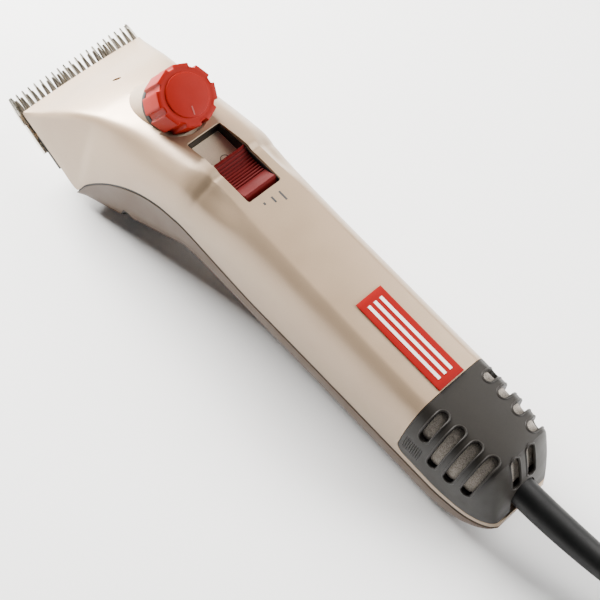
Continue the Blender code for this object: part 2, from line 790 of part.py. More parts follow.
def crank(handle, steel, brass):
    """The crank gear, its axle and the crank pin, about the gear's own axis."""
    spin = empty("crank_axis", handle, (0, 0, GEAR_Z))
    bm = bmesh.new()
    gear_body(bm, gear_outline(GEAR_TEETH, 0.0), 3.3, GEAR_FRONT, GEAR_REAR)
    along_x(bm)
    finish("crank_gear", bm, brass, spin)
    bm = bmesh.new()
    rod(bm, [(6.0, 100.4), (6.0, GEAR_FRONT - GAP), (3.0, GEAR_FRONT - GAP + 0.01), (3.0, 124)], 16)
    along_x(bm)
    finish("crank_axle", bm, steel, spin)
    bm = bmesh.new()
    rod(bm, [(2.9, FORK_REAR + 0.4), (2.9, 100.1)], 16)
    along_x(bm, (0, 0, CRANK_THROW))
    finish("crank_pin", bm, steel, spin)


# ---------------------------------------------------------------- head


def toothed(teeth, width, broad, pitch_share, tip, gullet, rear):
    """A blade's outline in u and y, tips forward."""
    pitch = (width - broad) / (teeth - 1)
    base = pitch * pitch_share / 2
    points = [(rear, -width / 2), (tip + 1.2, -width / 2)]
    for k in range(teeth):
        middle = -width / 2 + broad / 2 + k * pitch
        edge = k in (0, teeth - 1)
        half = broad / 2 if edge else base
        point = half * (0.6 if edge else 0.42)
        if k:
            points.append((gullet, middle - half))
        points.append((tip + (0 if edge else 0.6), middle - point))
        points.append((tip + (0 if edge else 0.6), middle + point))
        if k < teeth - 1:
            points.append((gullet, middle + half))
    points += [(tip + 1.2, width / 2), (rear, width / 2)]
    return points


def blades(head, swing, steel):
    """The fixed comb under the swinging cutter."""
    outline = toothed(COMB_TEETH, COMB_WIDTH, 3.0, 0.52, 0.0, COMB_GULLET, COMB_LENGTH)
    bm = bmesh.new()
    prism(bm, outline, -COMB_HALF_THICK, COMB_HALF_THICK)
    finish("comb", bm, steel, head, smooth=False)
    outline = toothed(CUTTER_TEETH, CUTTER_WIDTH, 2.4, 0.6, 2.4, 12.6, 21.0)
    bm = bmesh.new()
    prism(bm, outline, CUTTER_LOW, CUTTER_HIGH)
    move(bm, (-PIVOT_U, 0, 0))
    finish("cutter", bm, steel, swing, smooth=False)


def head_frame(head, alloy):
    """The casting that holds the comb, with two comb seats under it."""
    bm = bmesh.new()
    outline = [(20, -26), (25, -33.5), (54, -33), (54, 33), (25, 33.5), (20, 26)]
    prism(bm, outline, 5.0, 7.8)
    made = finish("head_frame", bm, alloy, head, smooth=False)

    def seats(bm):
        for side in (-1, 1):
            low, high = sorted((side * 20, side * 33))
            block(bm, (25.6, low, COMB_HALF_THICK + GAP), (32.8, high, 5.6))

    def bolt_hole(bm):
        rod(bm, [(BOLT_R + GAP, 0), (BOLT_R + GAP, 20)], 16)
        move(bm, (PIVOT_U, 0, 0))

    modify(made, cutter("comb_seat_tool", seats, head), "UNION")
    modify(made, cutter("frame_bolt_tool", bolt_hole, head), "DIFFERENCE")
    return made


def comb_screws(head, steel):
    """The two screws that hold the comb from below."""
    for name, side in (("comb_screw_left", -1), ("comb_screw_right", 1)):
        bm = bmesh.new()
        low = -COMB_HALF_THICK - GAP
        rod(bm, [(4.3, low - 2.6), (4.6, low - 2.2), (4.6, low)], 18)
        move(bm, (29.2, side * 27, 0))
        finish(name, bm, steel, head)


def swing_lever(head, alloy, steel):
    """The lever that swings the cutter, about the tension bolt."""
    swing = empty("lever_axis", head, (PIVOT_U, 0, 0))
    bm = bmesh.new()
    rod(bm, [(8.6, LEVER_LOW), (8.6, LEVER_HIGH + 2)], 24)
    made = finish("swing_lever", bm, alloy, swing)

    def front(bm):
        outline = [(2, -7), (2, 7), (-22, 17.5), (-31, 17.5), (-31, 11), (-24, 8)]
        outline += [(-24, -8), (-31, -11), (-31, -17.5), (-22, -17.5)]
        prism(bm, outline, LEVER_LOW, LEVER_HIGH)

    def rear(bm):
        prism(bm, [(-2, -7), (25, -5.6), (25, 5.6), (-2, 7)], LEVER_LOW + 0.1, LEVER_HIGH - 0.1)

    def riser(bm):
        corners = [head_point(FORK_REAR, -13), head_point(FORK_REAR, 4.5)]
        corners += [head_point(FORK_FRONT, 4.5), head_point(FORK_FRONT, -9)]
        outline = [(62, LEVER_LOW), (70, LEVER_LOW), *corners, (62, LEVER_HIGH)]
        side_prism(bm, outline, 6.6)
        move(bm, (-PIVOT_U, 0, 0))

    def slot(bm):
        corners = [head_point(80, -11.5), head_point(99, -11.5), head_point(99, 9), head_point(80, 9)]
        side_prism(bm, corners, 3.3)
        move(bm, (-PIVOT_U, 0, 0))

    def bore(bm):
        rod(bm, [(BOLT_R + GAP, 0), (BOLT_R + GAP, 30)], 16)

    for name, draw, how in (
        ("lever_front_tool", front, "UNION"),
        ("lever_rear_tool", rear, "UNION"),
        ("lever_riser_tool", riser, "UNION"),
        ("lever_slot_tool", slot, "DIFFERENCE"),
        ("lever_bore_tool", bore, "DIFFERENCE"),
    ):
        modify(made, cutter(name, draw, swing), how)
    for name, side in (("cutter_pin_left", -1), ("cutter_pin_right", 1)):
        bm = bmesh.new()
        rod(bm, [(2.0, CUTTER_HIGH + GAP), (2.0, LEVER_LOW - GAP)], 12)
        move(bm, (-28.6, side * 14.2, 0))
        finish(name, bm, steel, swing)
    return swing


def tension_stack(head, steel, rubber, brass):
    """Bolt, sleeve, spring and dust seal on the knob's axis."""
    stack = empty("tension_axis", head, (PIVOT_U, 0, 0))
    bm = bmesh.new()
    rod(bm, [(6.0, 2.4), (6.0, 4.7), (BOLT_R, 4.71), (BOLT_R, 96.0), (BOLT_R - 0.6, 96.8)], 16)
    finish("tension_bolt", bm, steel, stack)
    bm = bmesh.new()
    inner = BOLT_R + GAP
    low = LEVER_HIGH + 3.7
    profile = [(inner, low), (6.2, low), (6.2, 72), (8.6, 74), (8.6, 77), (inner, 77)]
    turned(bm, profile, 20)
    finish("tension_sleeve", bm, brass, stack)
    spring(stack, steel)
    bm = bmesh.new()
    low, high = COLLAR_TOP + GAP, 86.6
    inner, outer = COLLAR_R - 2.4, COLLAR_R
    turned(bm, [(inner, low), (outer, low), (outer, high), (inner, high)], 28)
    finish("knob_seal", bm, rubber, stack)
    return stack


def spring(stack, steel):
    """The tension spring, a round wire wound about the bolt."""
    turns, per_turn, sides = 4, 14, 6
    wire, mean = 0.8, 5.6
    low, high = 77 + GAP + wire, 92.0
    rings = []
    total = turns * per_turn
    for k in range(total + 1):
        angle = 2 * math.pi * k / per_turn
        height = low + (high - low) * k / total
        ring = []
        for j in range(sides):
            around = 2 * math.pi * j / sides
            radius = mean + wire * math.cos(around)
            lift = wire * math.sin(around)
            ring.append((radius * math.cos(angle), radius * math.sin(angle), height + lift))
        rings.append(ring)
    bm = bmesh.new()
    loft(bm, rings)
    finish("tension_spring", bm, steel, stack)


def tension_knob(head, red):
    """The knurled knob, hollow over the spring, on a frame at its own centre."""
    turn = empty("knob_axis", head, (PIVOT_U, 0, KNOB_LOW))
    high = KNOB_HIGH - KNOB_LOW
    lobes, per_lobe = 8, 6
    count = lobes * per_lobe

    def outline(scale):
        points = []
        for k in range(count):
            angle = 2 * math.pi * k / count
            inset = 1.0 if k % per_lobe in (0, 1) else 0.0
            radius = (KNOB_R - inset) * scale
            points.append((radius * math.cos(angle), radius * math.sin(angle)))
        return points

    rings = [[(x, y, 0) for x, y in outline(1.0)]]
    rings.append([(x, y, high - 1.8) for x, y in outline(1.0)])
    rings.append([(x, y, high - 0.5) for x, y in outline(0.94)])
    rings.append(circle(10.4, count, high - 0.5))
    rings.append(circle(10.0, count, high))
    bm = bmesh.new()
    loft(bm, rings)
    made = finish("tension_knob", bm, red, turn)

    def hollow(bm):
        rod(bm, [(13.0, -5), (13.0, 5.0), (11.0, 6.5), (7.6, 8.0), (7.6, 12.6)], 24)

    modify(made, cutter("knob_hollow_tool", hollow, turn), "DIFFERENCE")
    return made


def belly_screws(handle, steel):
    """The screws deep in the belly's counterbores."""
    for name, (x, y) in zip(("belly_screw_left", "belly_screw_right"), belly_screw_places()):
        bm = bmesh.new()
        head = BELLY_BORE_TOP - GAP
        rod(bm, [(2.9, head - 3.1), (3.2, head - 2.7), (3.2, head)], 16)
        move(bm, (x, y, 0))
        finish(name, bm, steel, handle)


# ---------------------------------------------------------------- cord


def swept(bm, path, radii, sides):
    """A round bar along a path of points, with a radius for each."""
    rings = []
    side = None
    for i, here in enumerate(path):
        ahead = Vector(path[min(i + 1, len(path) - 1)]) - Vector(path[max(i - 1, 0)])
        ahead.normalize()
        side = side or ahead.cross(Vector((0, 0, 1))).normalized()
        side = (side - ahead * side.dot(ahead)).normalized()
        up = side.cross(ahead)
        ring = []
        for k in range(sides):
            angle = 2 * math.pi * k / sides
            ring.append(tuple(Vector(here) + radii[i] * (math.cos(angle) * side + math.sin(angle) * up)))
        rings.append(ring)
    loft(bm, rings)


def strain_relief(handle, rubber):
    """The tapered sleeve on the cord, bending a little to the right."""
    xs = [316, 319, 323, 332, 344, 356, 366, 376, RELIEF_END]
    path = [(x, 2.6 * max(0.0, (x - 323) / 42) ** 1.6, CORD_Z) for x in xs]
    radii = [7.2, 7.2, 7.2, 7.1, 7.0, 6.8, 6.5, 6.0, 5.4]
    bm = bmesh.new()
    swept(bm, path, radii, 16)
    return finish("strain_relief", bm, rubber, handle)


def smooth_route(points, steps):
    """Points read from a smooth curve through the route's own points."""
    knots = [Vector(p) for p in points]
    knots = [2 * knots[0] - knots[1], *knots, 2 * knots[-1] - knots[-2]]
    made = []
    for a, b, c, d in zip(knots, knots[1:], knots[2:], knots[3:]):
        for k in range(steps):
            t = k / steps
            made.append(
                0.5
                * (
                    2 * b
                    + (c - a) * t
                    + (2 * a - 5 * b + 4 * c - d) * t * t
                    + (3 * b - a - 3 * c + d) * t**3
                )
            )
    made.append(knots[-2])
    return made


def cord_curve(name, route, rubber, steps=2):
    """A curve with a round bevel along a route given in millimetres."""
    points = smooth_route(route, steps)
    data = bpy.data.curves.new(name, "CURVE")
    data.dimensions = "3D"
    data.bevel_depth = CORD_R * MM
    data.bevel_resolution = 2
    data.use_fill_caps = True
    line = data.splines.new("POLY")
    line.points.add(len(points) - 1)
    for target, source in zip(line.points, points):
        target.co = (*(source * MM), 1.0)
    data.materials.append(rubber)
    made = bpy.data.objects.new(name, data)
    bpy.context.scene.collection.objects.link(made)
    return made


# Where the cord lies, in the row frame and in millimetres: from the sleeve down to the
# table and round to the coil, and from the coil's top to the plug.
LEAD_ROUTE = (
    (224.5, 6.2, 22.4),
    (230.0, 6.7, 20.8),
    (236.0, 6.8, 18.4),
    (243.5, 5.6, 14.6),
    (251.0, 2.4, 10.4),
    (258.5, -3.2, 6.8),
    (265.5, -11.0, 4.6),
    (270.5, -18.5, 3.8),
    (275.3, -25.5, 3.7),
    (280.8, -32.0, 3.7),
    (287.4, -37.7, 3.7),
    (294.3, -42.2, 3.7),
)
TAIL_ROUTE = (
    (356.0, 26.0, 32.8),
    (349.5, 31.5, 33.6),
    (342.0, 34.6, 34.9),
    (334.0, 35.6, 36.0),
    (326.0, 35.6, 36.4),
)
PLUG_START = 325.7
PLUG_Y, PLUG_Z = 35.6, 36.6


def cord_pieces(rubber, plug_stuff, steel):
    """The lead, its wound length, and the plug lying on the coil."""
    cord_curve("mains_cord", LEAD_ROUTE, rubber)
    cord_curve("cord_tail", TAIL_ROUTE, rubber)
    bm = bmesh.new()
    low, high = 0.1, COIL_HIGH
    turned(bm, [(COIL_INNER, low), (COIL_OUTER, low), (COIL_OUTER, high), (COIL_INNER, high)], 36)
    move(bm, (*COIL_CENTRE, 0))
    finish("cord_coil", bm, rubber)
    bm = bmesh.new()
    sections = ((0.0, 4.2, 4.2), (9.0, 5.4, 4.8), (12.0, 12.0, 6.6), (20.0, 17.2, 6.9))
    sections += ((37.0, 17.6, 6.9),)
    rings = []
    for along, half_y, half_z in sections:
        ring = []
        for k in range(16):
            angle = 2 * math.pi * k / 16
            cy = math.copysign(abs(math.cos(angle)) ** 0.6, math.cos(angle))
            cz = math.copysign(abs(math.sin(angle)) ** 0.6, math.sin(angle))
            ring.append((PLUG_START - GAP - along, PLUG_Y + half_y * cy, PLUG_Z + half_z * cz))
        rings.append(ring)
    loft(bm, rings)
    finish("plug_body", bm, plug_stuff)
    for name, side in (("plug_pin_left", -1), ("plug_pin_right", 1)):
        bm = bmesh.new()
        start = PLUG_START - GAP - 37.0 - GAP
        rod(bm, [(1.2, 0), (2.0, 1.0), (2.0, 19.0)], 12)
        along_x(bm, (start - 19.0, PLUG_Y + side * 9.3, PLUG_Z))
        finish(name, bm, steel)


# ---------------------------------------------------------------- the whole clipper


def build():
    """Clear the scene and model the clipper."""
    for old in list(bpy.data.objects):
        bpy.data.objects.remove(old)

    silver = material("silver_paint", (0.62, 0.58, 0.53), 0.36, 0.35)
    red = material("red_plastic", (0.72, 0.05, 0.025), 0.38)
    slider_red = material("slider_red", (0.3, 0.015, 0.012), 0.42)
    label_red = material("label_red", (0.55, 0.03, 0.025), 0.4)
    grey = material("cap_grey", (0.055, 0.05, 0.046), 0.5)
    mesh_grey = material("filter_mesh", (0.28, 0.25, 0.22), 0.8)
    black = material("black_rubber", (0.012, 0.012, 0.012), 0.55)
    dark = material("dark_plastic", (0.02, 0.018, 0.016), 0.5)
    beige = material("floor_beige", (0.6, 0.52, 0.42), 0.5)
    steel = material("blade_steel", (0.6, 0.58, 0.54), 0.25, 1.0)
    alloy = material("cast_alloy", (0.5, 0.5, 0.5), 0.45, 0.9)
    copper = material("copper_wire", (0.6, 0.24, 0.1), 0.4, 0.8)
    brass = material("gear_brass", (0.6, 0.45, 0.18), 0.35, 0.9)
    green = material("board_green", (0.02, 0.14, 0.05), 0.5)
    carbon = material("brush_carbon", (0.03, 0.03, 0.03), 0.6)

    handle = empty("handle_frame", None, (ORIGIN_X, 0, ORIGIN_Z), (0, REST_TILT, 0))
    head = empty("head_axis_frame", handle, (0, 0, HEAD_Z), (0, HEAD_PITCH, 0))

    upper_housing(handle, head, silver)
    lower_housing(handle, silver)
    rear_cap(handle, grey)
    air_filter(handle, mesh_grey)
    label_plate(handle, label_red)
    switch_pieces(handle, slider_red, dark, beige, green)
    stator(handle, steel, copper)
    rotor(handle, steel, copper, brass, dark)
    motor_mounts(handle, alloy, steel, dark, carbon)
    crank(handle, steel, brass)
    swing = swing_lever(head, alloy, steel)
    blades(head, swing, steel)
    head_frame(head, alloy)
    comb_screws(head, steel)
    tension_stack(head, steel, black, brass)
    tension_knob(head, red)
    belly_screws(handle, steel)
    strain_relief(handle, black)
    cord_pieces(black, black, steel)


build()
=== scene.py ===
"""The looks of the mains animal clipper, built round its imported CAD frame.

Pieces are drawn in the clipper's handle frame, in millimetres: x runs from the comb tips to the
cord, y to the clipper's right, z up, and z = 0 is the parting plane of the handle's shells. The
head has a frame of its own, with u along the comb and w square to it. The table lies in the
row frame, in metres.
"""

import math

import bmesh
import bpy
from mathutils import Euler, Matrix, Vector


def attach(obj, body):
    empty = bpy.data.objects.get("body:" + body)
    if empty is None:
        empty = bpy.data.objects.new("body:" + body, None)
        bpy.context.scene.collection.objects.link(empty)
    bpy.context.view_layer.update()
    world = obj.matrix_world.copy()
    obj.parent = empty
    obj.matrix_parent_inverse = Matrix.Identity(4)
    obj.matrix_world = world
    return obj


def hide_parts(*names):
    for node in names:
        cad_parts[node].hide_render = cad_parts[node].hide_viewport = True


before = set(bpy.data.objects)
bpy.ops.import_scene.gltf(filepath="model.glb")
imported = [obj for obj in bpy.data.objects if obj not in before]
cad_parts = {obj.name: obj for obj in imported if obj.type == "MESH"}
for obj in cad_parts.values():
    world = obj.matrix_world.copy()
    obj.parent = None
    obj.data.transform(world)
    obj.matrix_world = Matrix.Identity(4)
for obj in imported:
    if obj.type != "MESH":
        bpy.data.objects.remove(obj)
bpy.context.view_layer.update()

MM = 0.001
ROOT = "housing"
SHARP = 32  # degrees between faces that makes an edge sharp

# The handle frame and the head frame, as the CAD part has them.
REST_TILT = math.radians(5.9)
ORIGIN = Vector((-159.99, 0.0, 49.6))
HEAD_PITCH = math.radians(28.0)
HEAD_Z = -13.3
HANDLE = Matrix.Translation(ORIGIN) @ Matrix.Rotation(REST_TILT, 4, "Y")
HEAD = HANDLE @ Matrix.Translation((0, 0, HEAD_Z)) @ Matrix.Rotation(HEAD_PITCH, 4, "Y")
ROW = Matrix.Identity(4)

WALL = 2.4
SHELL_END = 323.6
SEAM_GAP = 1.6
EDGE_ROUND = 0.28
SEAM_LIP = SEAM_GAP / 2 + EDGE_ROUND
PIVOT_U = 45.4

# The edge is the distance from a blade's side to the middle of its end tooth.
COMB_WIDTH, COMB_TEETH, COMB_LENGTH, COMB_GULLET, COMB_EDGE = 79.0, 21, 33.0, 14.0, 1.5
CUTTER_WIDTH, CUTTER_TEETH, CUTTER_EDGE = 76.0, 23, 1.2
CUTTER_LOW, CUTTER_HIGH = 1.8, 4.0

KNOB_LOW, KNOB_HIGH = 85.4, 105.4
COLLAR_R, COLLAR_BORE_R, COLLAR_TOP = 12.6, 9.6, 84.4
DISH_R, DISH_WALL_R, DISH_UNDER = 16.9, 19.4, 81.6

WINDOW_FRONT, WINDOW_REAR, WINDOW_HALF = 101.6, 144.4, 9.95
SLIDER_FRONT, SLIDER_REAR, SLIDER_HALF = 119.3, 143.3, 9.4
FLOOR_TOP = 34.4

CAP_FRONT = 266.8
CAP_EDGE_FRONT, CAP_EDGE_REAR = 6.0, 4.2
SLOT_XS = (275.2, 284.8, 294.4, 303.8)
SLOT_HALF = 2.5

BELLY_SCREW_X, BELLY_SCREW_Y = 83.0, 27.0
BELLY_HOLE_R, BELLY_HOLE_TOP = 5.0, -22.0

CORD_R = 3.5
CORD_Z = 12.8
RELIEF_END = 384.0
COIL_CENTRE = (324.0, 5.0)
COIL_OUTER = 51.8
PLUG_START, PLUG_Y, PLUG_Z = 325.7, 35.6, 36.6

# Shell stations: x, ridge half width, ridge height, crown, seam half width, seam height, bulge.
TOP_STATIONS = (
    (11.4, 38.0, -12.2, 1.6, 38.7, -14.0, 0.2),
    (20.0, 36.2, -5.2, 1.8, 38.6, -18.5, 0.2),
    (30.0, 32.9, 4.0, 2.2, 38.5, -23.8, 0.2),
    (40.0, 29.9, 12.4, 2.4, 38.4, -29.2, 0.25),
    (53.0, 26.4, 21.0, 2.4, 38.0, -36.1, 0.35),
    (58.6, 25.0, 24.0, 2.4, 37.0, -25.0, 0.4),
    (68.3, 22.7, 28.6, 2.2, 35.0, -12.4, 0.5),
    (81.2, 19.8, 33.3, 2.0, 33.0, -0.4, 0.6),
    (93.7, 17.6, 37.2, 1.6, 31.0, 6.4, 0.75),
    (106.8, 16.0, 41.1, 1.2, 29.4, 9.6, 0.9),
    (117.0, 15.1, 43.9, 1.0, 28.4, 9.6, 1.0),
    (121.5, 14.8, 44.5, 0.8, 27.9, 8.6, 1.0),
    (125.0, 14.8, 43.9, 0.7, 27.6, 7.8, 1.0),
    (140.0, 14.9, 43.9, 0.8, 26.7, 4.2, 1.0),
    (171.0, 15.3, 43.2, 0.8, 26.0, 0.0, 1.0),
    (200.0, 15.7, 42.4, 0.8, 25.8, 0.0, 1.0),
    (235.0, 16.0, 41.6, 0.8, 25.7, 0.0, 1.0),
    (266.8, 16.0, 41.2, 0.8, 25.7, 0.0, 1.0),
    (290.0, 15.0, 41.0, 0.9, 25.7, 0.0, 1.0),
    (300.0, 14.2, 40.9, 1.0, 24.9, 0.0, 0.95),
    (308.8, 13.4, 40.3, 1.0, 23.6, 0.0, 0.9),
    (312.5, 13.9, 33.2, 1.6, 22.6, 0.0, 0.8),
    (316.0, 14.5, 24.6, 1.8, 21.3, 0.0, 0.7),
    (319.5, 15.2, 14.0, 1.4, 19.4, 0.0, 0.6),
    (321.6, 15.6, 6.6, 0.8, 17.8, 0.0, 0.5),
    (323.6, 14.0, 2.6, 0.4, 15.0, 0.0, 0.4),
)

# Lower shell stations: x, bottom height, how square the bottom corners are.
LOW_STATIONS = (
    (53.0, -39.6, 0.95),
    (60.0, -43.0, 0.95),
    (68.0, -44.0, 0.95),
    (76.0, -42.0, 0.95),
    (88.0, -36.4, 0.95),
    (104.0, -29.6, 0.92),
    (113.0, -24.4, 0.9),
    (120.0, -19.8, 0.88),
    (127.0, -18.8, 0.86),
    (140.0, -19.4, 0.85),
    (171.0, -20.0, 0.85),
    (235.0, -20.2, 0.85),
    (290.0, -20.2, 0.85),
    (302.0, -18.6, 0.85),
    (312.0, -14.2, 0.85),
    (319.0, -8.4, 0.85),
    (323.6, -3.0, 0.85),
)

# How soft the crease along the top's edge is: x, fillet size.
CREASE_STATIONS = (
    (11.4, 2.0),
    (30.0, 4.5),
    (90.0, 3.6),
    (116.0, 2.4),
    (123.0, 1.0),
    (128.0, 0.9),
    (262.0, 0.9),
    (270.0, 2.2),
    (300.0, 3.4),
    (323.6, 5.0),
)


# ---------------------------------------------------------------- small tools


def blended(stations, x):
    """The row of a station table at x, on smooth curves through its rows."""
    rows = list(stations)
    i = max(k for k in range(len(rows) - 1) if rows[k][0] <= x or k == 0)
    a, b = rows[i], rows[i + 1]
    before = rows[i - 1] if i else a
    after = rows[i + 2] if i + 2 < len(rows) else b
    span = b[0] - a[0]
    t = min(max((x - a[0]) / span, 0.0), 1.0)
    values = []
    for k in range(1, len(a)):
        steep = (b[k] - a[k]) / span
        start = (steep + (a[k] - before[k]) / (a[0] - before[0])) / 2 if i else steep
        end = (steep + (after[k] - b[k]) / (after[0] - b[0])) / 2 if after is not b else steep
        start = start if start * steep > 0 else 0.0
        end = end if end * steep > 0 else 0.0
        start = math.copysign(min(abs(start), 2.5 * abs(steep)), steep)
        end = math.copysign(min(abs(end), 2.5 * abs(steep)), steep)
        h = t * t * (3 - 2 * t)
        bend = span * (start * t * (1 - t) ** 2 - end * t * t * (1 - t))
        values.append(a[k] + (b[k] - a[k]) * h + bend)
    return values


def bezier(points, t):
    """A point on a cubic curve in a plane."""
    s = 1 - t
    weights = (s**3, 3 * s * s * t, 3 * s * t * t, t**3)
    return tuple(sum(w * p[k] for w, p in zip(weights, points)) for k in (0, 1))


def hump(x, middle, width):
    """A smooth bump of height 1."""
    return math.exp(-(((x - middle) / width) ** 2))


def ease(value, start, end):
    """0 before start, 1 after end, and smooth between."""
    t = min(max((value - start) / (end - start), 0.0), 1.0)
    return t * t * (3 - 2 * t)


def steps(start, end, step):
    """Evenly spread values from start to end, about step apart."""
    count = max(1, round((end - start) / step))
    return [start + (end - start) * k / count for k in range(count + 1)]


def finish(name, bm, place=HANDLE, smooth=True, sharp=35):
    """Turn a bmesh drawn in millimetres into an object with its vertices in the row frame."""
    bmesh.ops.remove_doubles(bm, verts=bm.verts, dist=1e-5)
    bmesh.ops.recalc_face_normals(bm, faces=bm.faces)
    bmesh.ops.transform(bm, matrix=Matrix.Scale(MM, 4) @ place, verts=bm.verts)
    mesh = bpy.data.meshes.new(name)
    bm.to_mesh(mesh)
    bm.free()
    made = bpy.data.objects.new(name, mesh)
    bpy.context.scene.collection.objects.link(made)
    if smooth:
        mesh.shade_smooth()
        mesh.set_sharp_from_angle(angle=math.radians(sharp))
    return made


def piece(made, stuff, body=ROOT, stands_for=()):
    """Give a piece its material, its body and the CAD nodes it stands for."""
    if stuff:
        made.data.materials.clear()
        made.data.materials.append(stuff)
    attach(made, body)
    if stands_for:
        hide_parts(*stands_for)
    return made


def bridge(bm, near, far):
    """Faces between two closed rings with the same number of points."""
    for i in range(len(near)):
        j = (i + 1) % len(near)
        bm.faces.new((near[i], near[j], far[j], far[i]))


def loft(bm, rings):
    """Skin closed rings with the same number of points, and close both ends."""
    made = [[bm.verts.new(p) for p in ring] for ring in rings]
    for near, far in zip(made, made[1:]):
        bridge(bm, near, far)
    bm.faces.new(made[0])
    bm.faces.new(list(reversed(made[-1])))


def band(bm, rings):
    """Skin closed rings and join the last one to the first."""
    made = [[bm.verts.new(p) for p in ring] for ring in rings]
    for near, far in zip(made, made[1:] + made[:1]):
        bridge(bm, near, far)


def shift(bm, x, y=0.0):
    """Move everything drawn so far."""
    bmesh.ops.translate(bm, vec=(x, y, 0), verts=bm.verts)


def angles(count):
    """Evenly spread angles round a circle."""
    return [2 * math.pi * k / count for k in range(count)]


def circle(radius, sides, height):
    """Points around the z axis at one height."""
    return [(radius * math.cos(a), radius * math.sin(a), height) for a in angles(sides)]


def turned(bm, profile, sides):
    """A solid of revolution about z from (radius, height) pairs in a closed loop."""
    band(bm, [circle(r, sides, h) for r, h in profile])


def rod(bm, profile, sides):
    """A solid round bar about z from (radius, height) pairs, bottom to top."""
    loft(bm, [circle(r, sides, h) for r, h in profile])


def prism(bm, outline, low, high):
    """An outline in x and y, raised from low to high."""
    loft(bm, [[(x, y, low) for x, y in outline], [(x, y, high) for x, y in outline]])


def block(bm, low, high):
    """A box between two corners."""
    (x0, y0, z0), (x1, y1, z1) = low, high
    prism(bm, [(x0, y0), (x1, y0), (x1, y1), (x0, y1)], z0, z1)


def rounded(x0, x1, half, radius, grow=0.0):
    """A rectangle's outline with round corners, its sides moved out by grow."""
    points = []
    corner = 5
    x0, x1, half = x0 - grow, x1 + grow, half + grow
    corners = ((x1, half, 0), (x0, half, 90), (x0, -half, 180), (x1, -half, 270))
    for x, y, start in corners:
        cx = x - math.copysign(radius, x - (x0 + x1) / 2)
        cy = y - math.copysign(radius, y)
        for k in range(corner + 1):
            angle = math.radians(start + 90 * k / corner)
            points.append((cx + radius * math.cos(angle), cy + radius * math.sin(angle)))
    return points


def bevelled(made, width):
    """Round an object's edges and bake the result into its mesh."""
    step = made.modifiers.new("edges", "BEVEL")
    step.width = width * MM
    step.segments = 2
    step.limit_method = "ANGLE"
    step.angle_limit = math.radians(SHARP)
    step.harden_normals = False
    applied(made)


def applied(made):
    """Bake an object's modifiers into its mesh."""
    graph = bpy.context.evaluated_depsgraph_get()
    mesh = bpy.data.meshes.new_from_object(made.evaluated_get(graph))
    made.modifiers.clear()
    made.data = mesh
    mesh.shade_smooth()
    mesh.set_sharp_from_angle(angle=math.radians(SHARP))


def cut(made, tool, operation="DIFFERENCE"):
    """Run one Boolean and throw its tool away."""
    step = made.modifiers.new("cut", "BOOLEAN")
    step.operation = operation
    step.solver = "EXACT"
    step.object = tool
    applied(made)
    bpy.data.objects.remove(tool)


def tool(draw, place=HANDLE):
    """A solid for a Boolean."""
    bm = bmesh.new()
    draw(bm)
    return finish("tool", bm, place, smooth=False)


def bar(profile, sides, x=0.0, y=0.0, place=HANDLE):
    """A round bar for a Boolean, standing at x and y."""

    def draw(bm):
        rod(bm, profile, sides)
        shift(bm, x, y)

    return tool(draw, place)


# ---------------------------------------------------------------- materials


class Stuff:
    """A procedural material: a Principled shader and the nodes that feed it."""

    def __init__(self, name, roughness, metallic=0.0, coat=0.0, specular=0.5):
        self.material = bpy.data.materials.new(name)
        self.material.use_nodes = True
        self.nodes = self.material.node_tree.nodes
        self.links = self.material.node_tree.links
        self.shader = self.nodes["Principled BSDF"]
        self.shader.inputs["Roughness"].default_value = roughness
        self.shader.inputs["Metallic"].default_value = metallic
        self.shader.inputs["Coat Weight"].default_value = coat
        self.shader.inputs["Coat Roughness"].default_value = 0.25
        self.shader.inputs["Specular IOR Level"].default_value = specular
        self.where = self.nodes.new("ShaderNodeTexCoord").outputs["Object"]

    def add(self, kind, **settings):
        node = self.nodes.new(kind)
        for key, value in settings.items():
            setattr(node, key, value)
        return node

    def noise(self, scale, detail, stretch=(1, 1, 1)):
        """Noise whose features are about 1 / scale metres across."""
        place = self.add("ShaderNodeMapping")
        place.inputs["Scale"].default_value = stretch
        self.links.new(self.where, place.inputs["Vector"])
        node = self.add("ShaderNodeTexNoise")
        node.inputs["Scale"].default_value = scale
        node.inputs["Detail"].default_value = detail
        node.inputs["Roughness"].default_value = 0.55
        self.links.new(place.outputs["Vector"], node.inputs["Vector"])
        return node.outputs["Fac"]

    def ramp(self, value, low, high, start=0.35, end=0.65):
        """A colour between two, from a value between two."""
        node = self.add("ShaderNodeValToRGB")
        node.color_ramp.elements[0].position = start
        node.color_ramp.elements[1].position = end
        node.color_ramp.elements[0].color = (*low, 1)
        node.color_ramp.elements[1].color = (*high, 1)
        self.links.new(value, node.inputs["Fac"])
        return node.outputs["Color"]

    def span(self, value, low, high):
        """A number between two, from noise."""
        node = self.add("ShaderNodeMapRange")
        node.inputs["From Min"].default_value = 0.3
        node.inputs["From Max"].default_value = 0.7
        node.inputs["To Min"].default_value = low
        node.inputs["To Max"].default_value = high
        self.links.new(value, node.inputs["Value"])
        return node.outputs["Result"]

    def mix(self, a, b, factor):
        """Two colours mixed by a fixed factor."""
        node = self.add("ShaderNodeMix", data_type="RGBA")
        node.inputs[0].default_value = factor
        self.links.new(a, node.inputs[6])
        self.links.new(b, node.inputs[7])
        return node.outputs[2]

    def colour(self, socket):
        self.links.new(socket, self.shader.inputs["Base Color"])

    def rough(self, socket):
        self.links.new(socket, self.shader.inputs["Roughness"])

    def bump(self, height, depth):
        """Raise the surface by depth millimetres where height is 1."""
        node = self.add("ShaderNodeBump")
        node.inputs["Strength"].default_value = 1.0
        node.inputs["Distance"].default_value = depth * MM
        self.links.new(height, node.inputs["Height"])
        self.links.new(node.outputs["Normal"], self.shader.inputs["Normal"])


def shaded(colour, by):
    """A colour made lighter or darker."""
    return tuple(min(1.0, c * by) for c in colour)


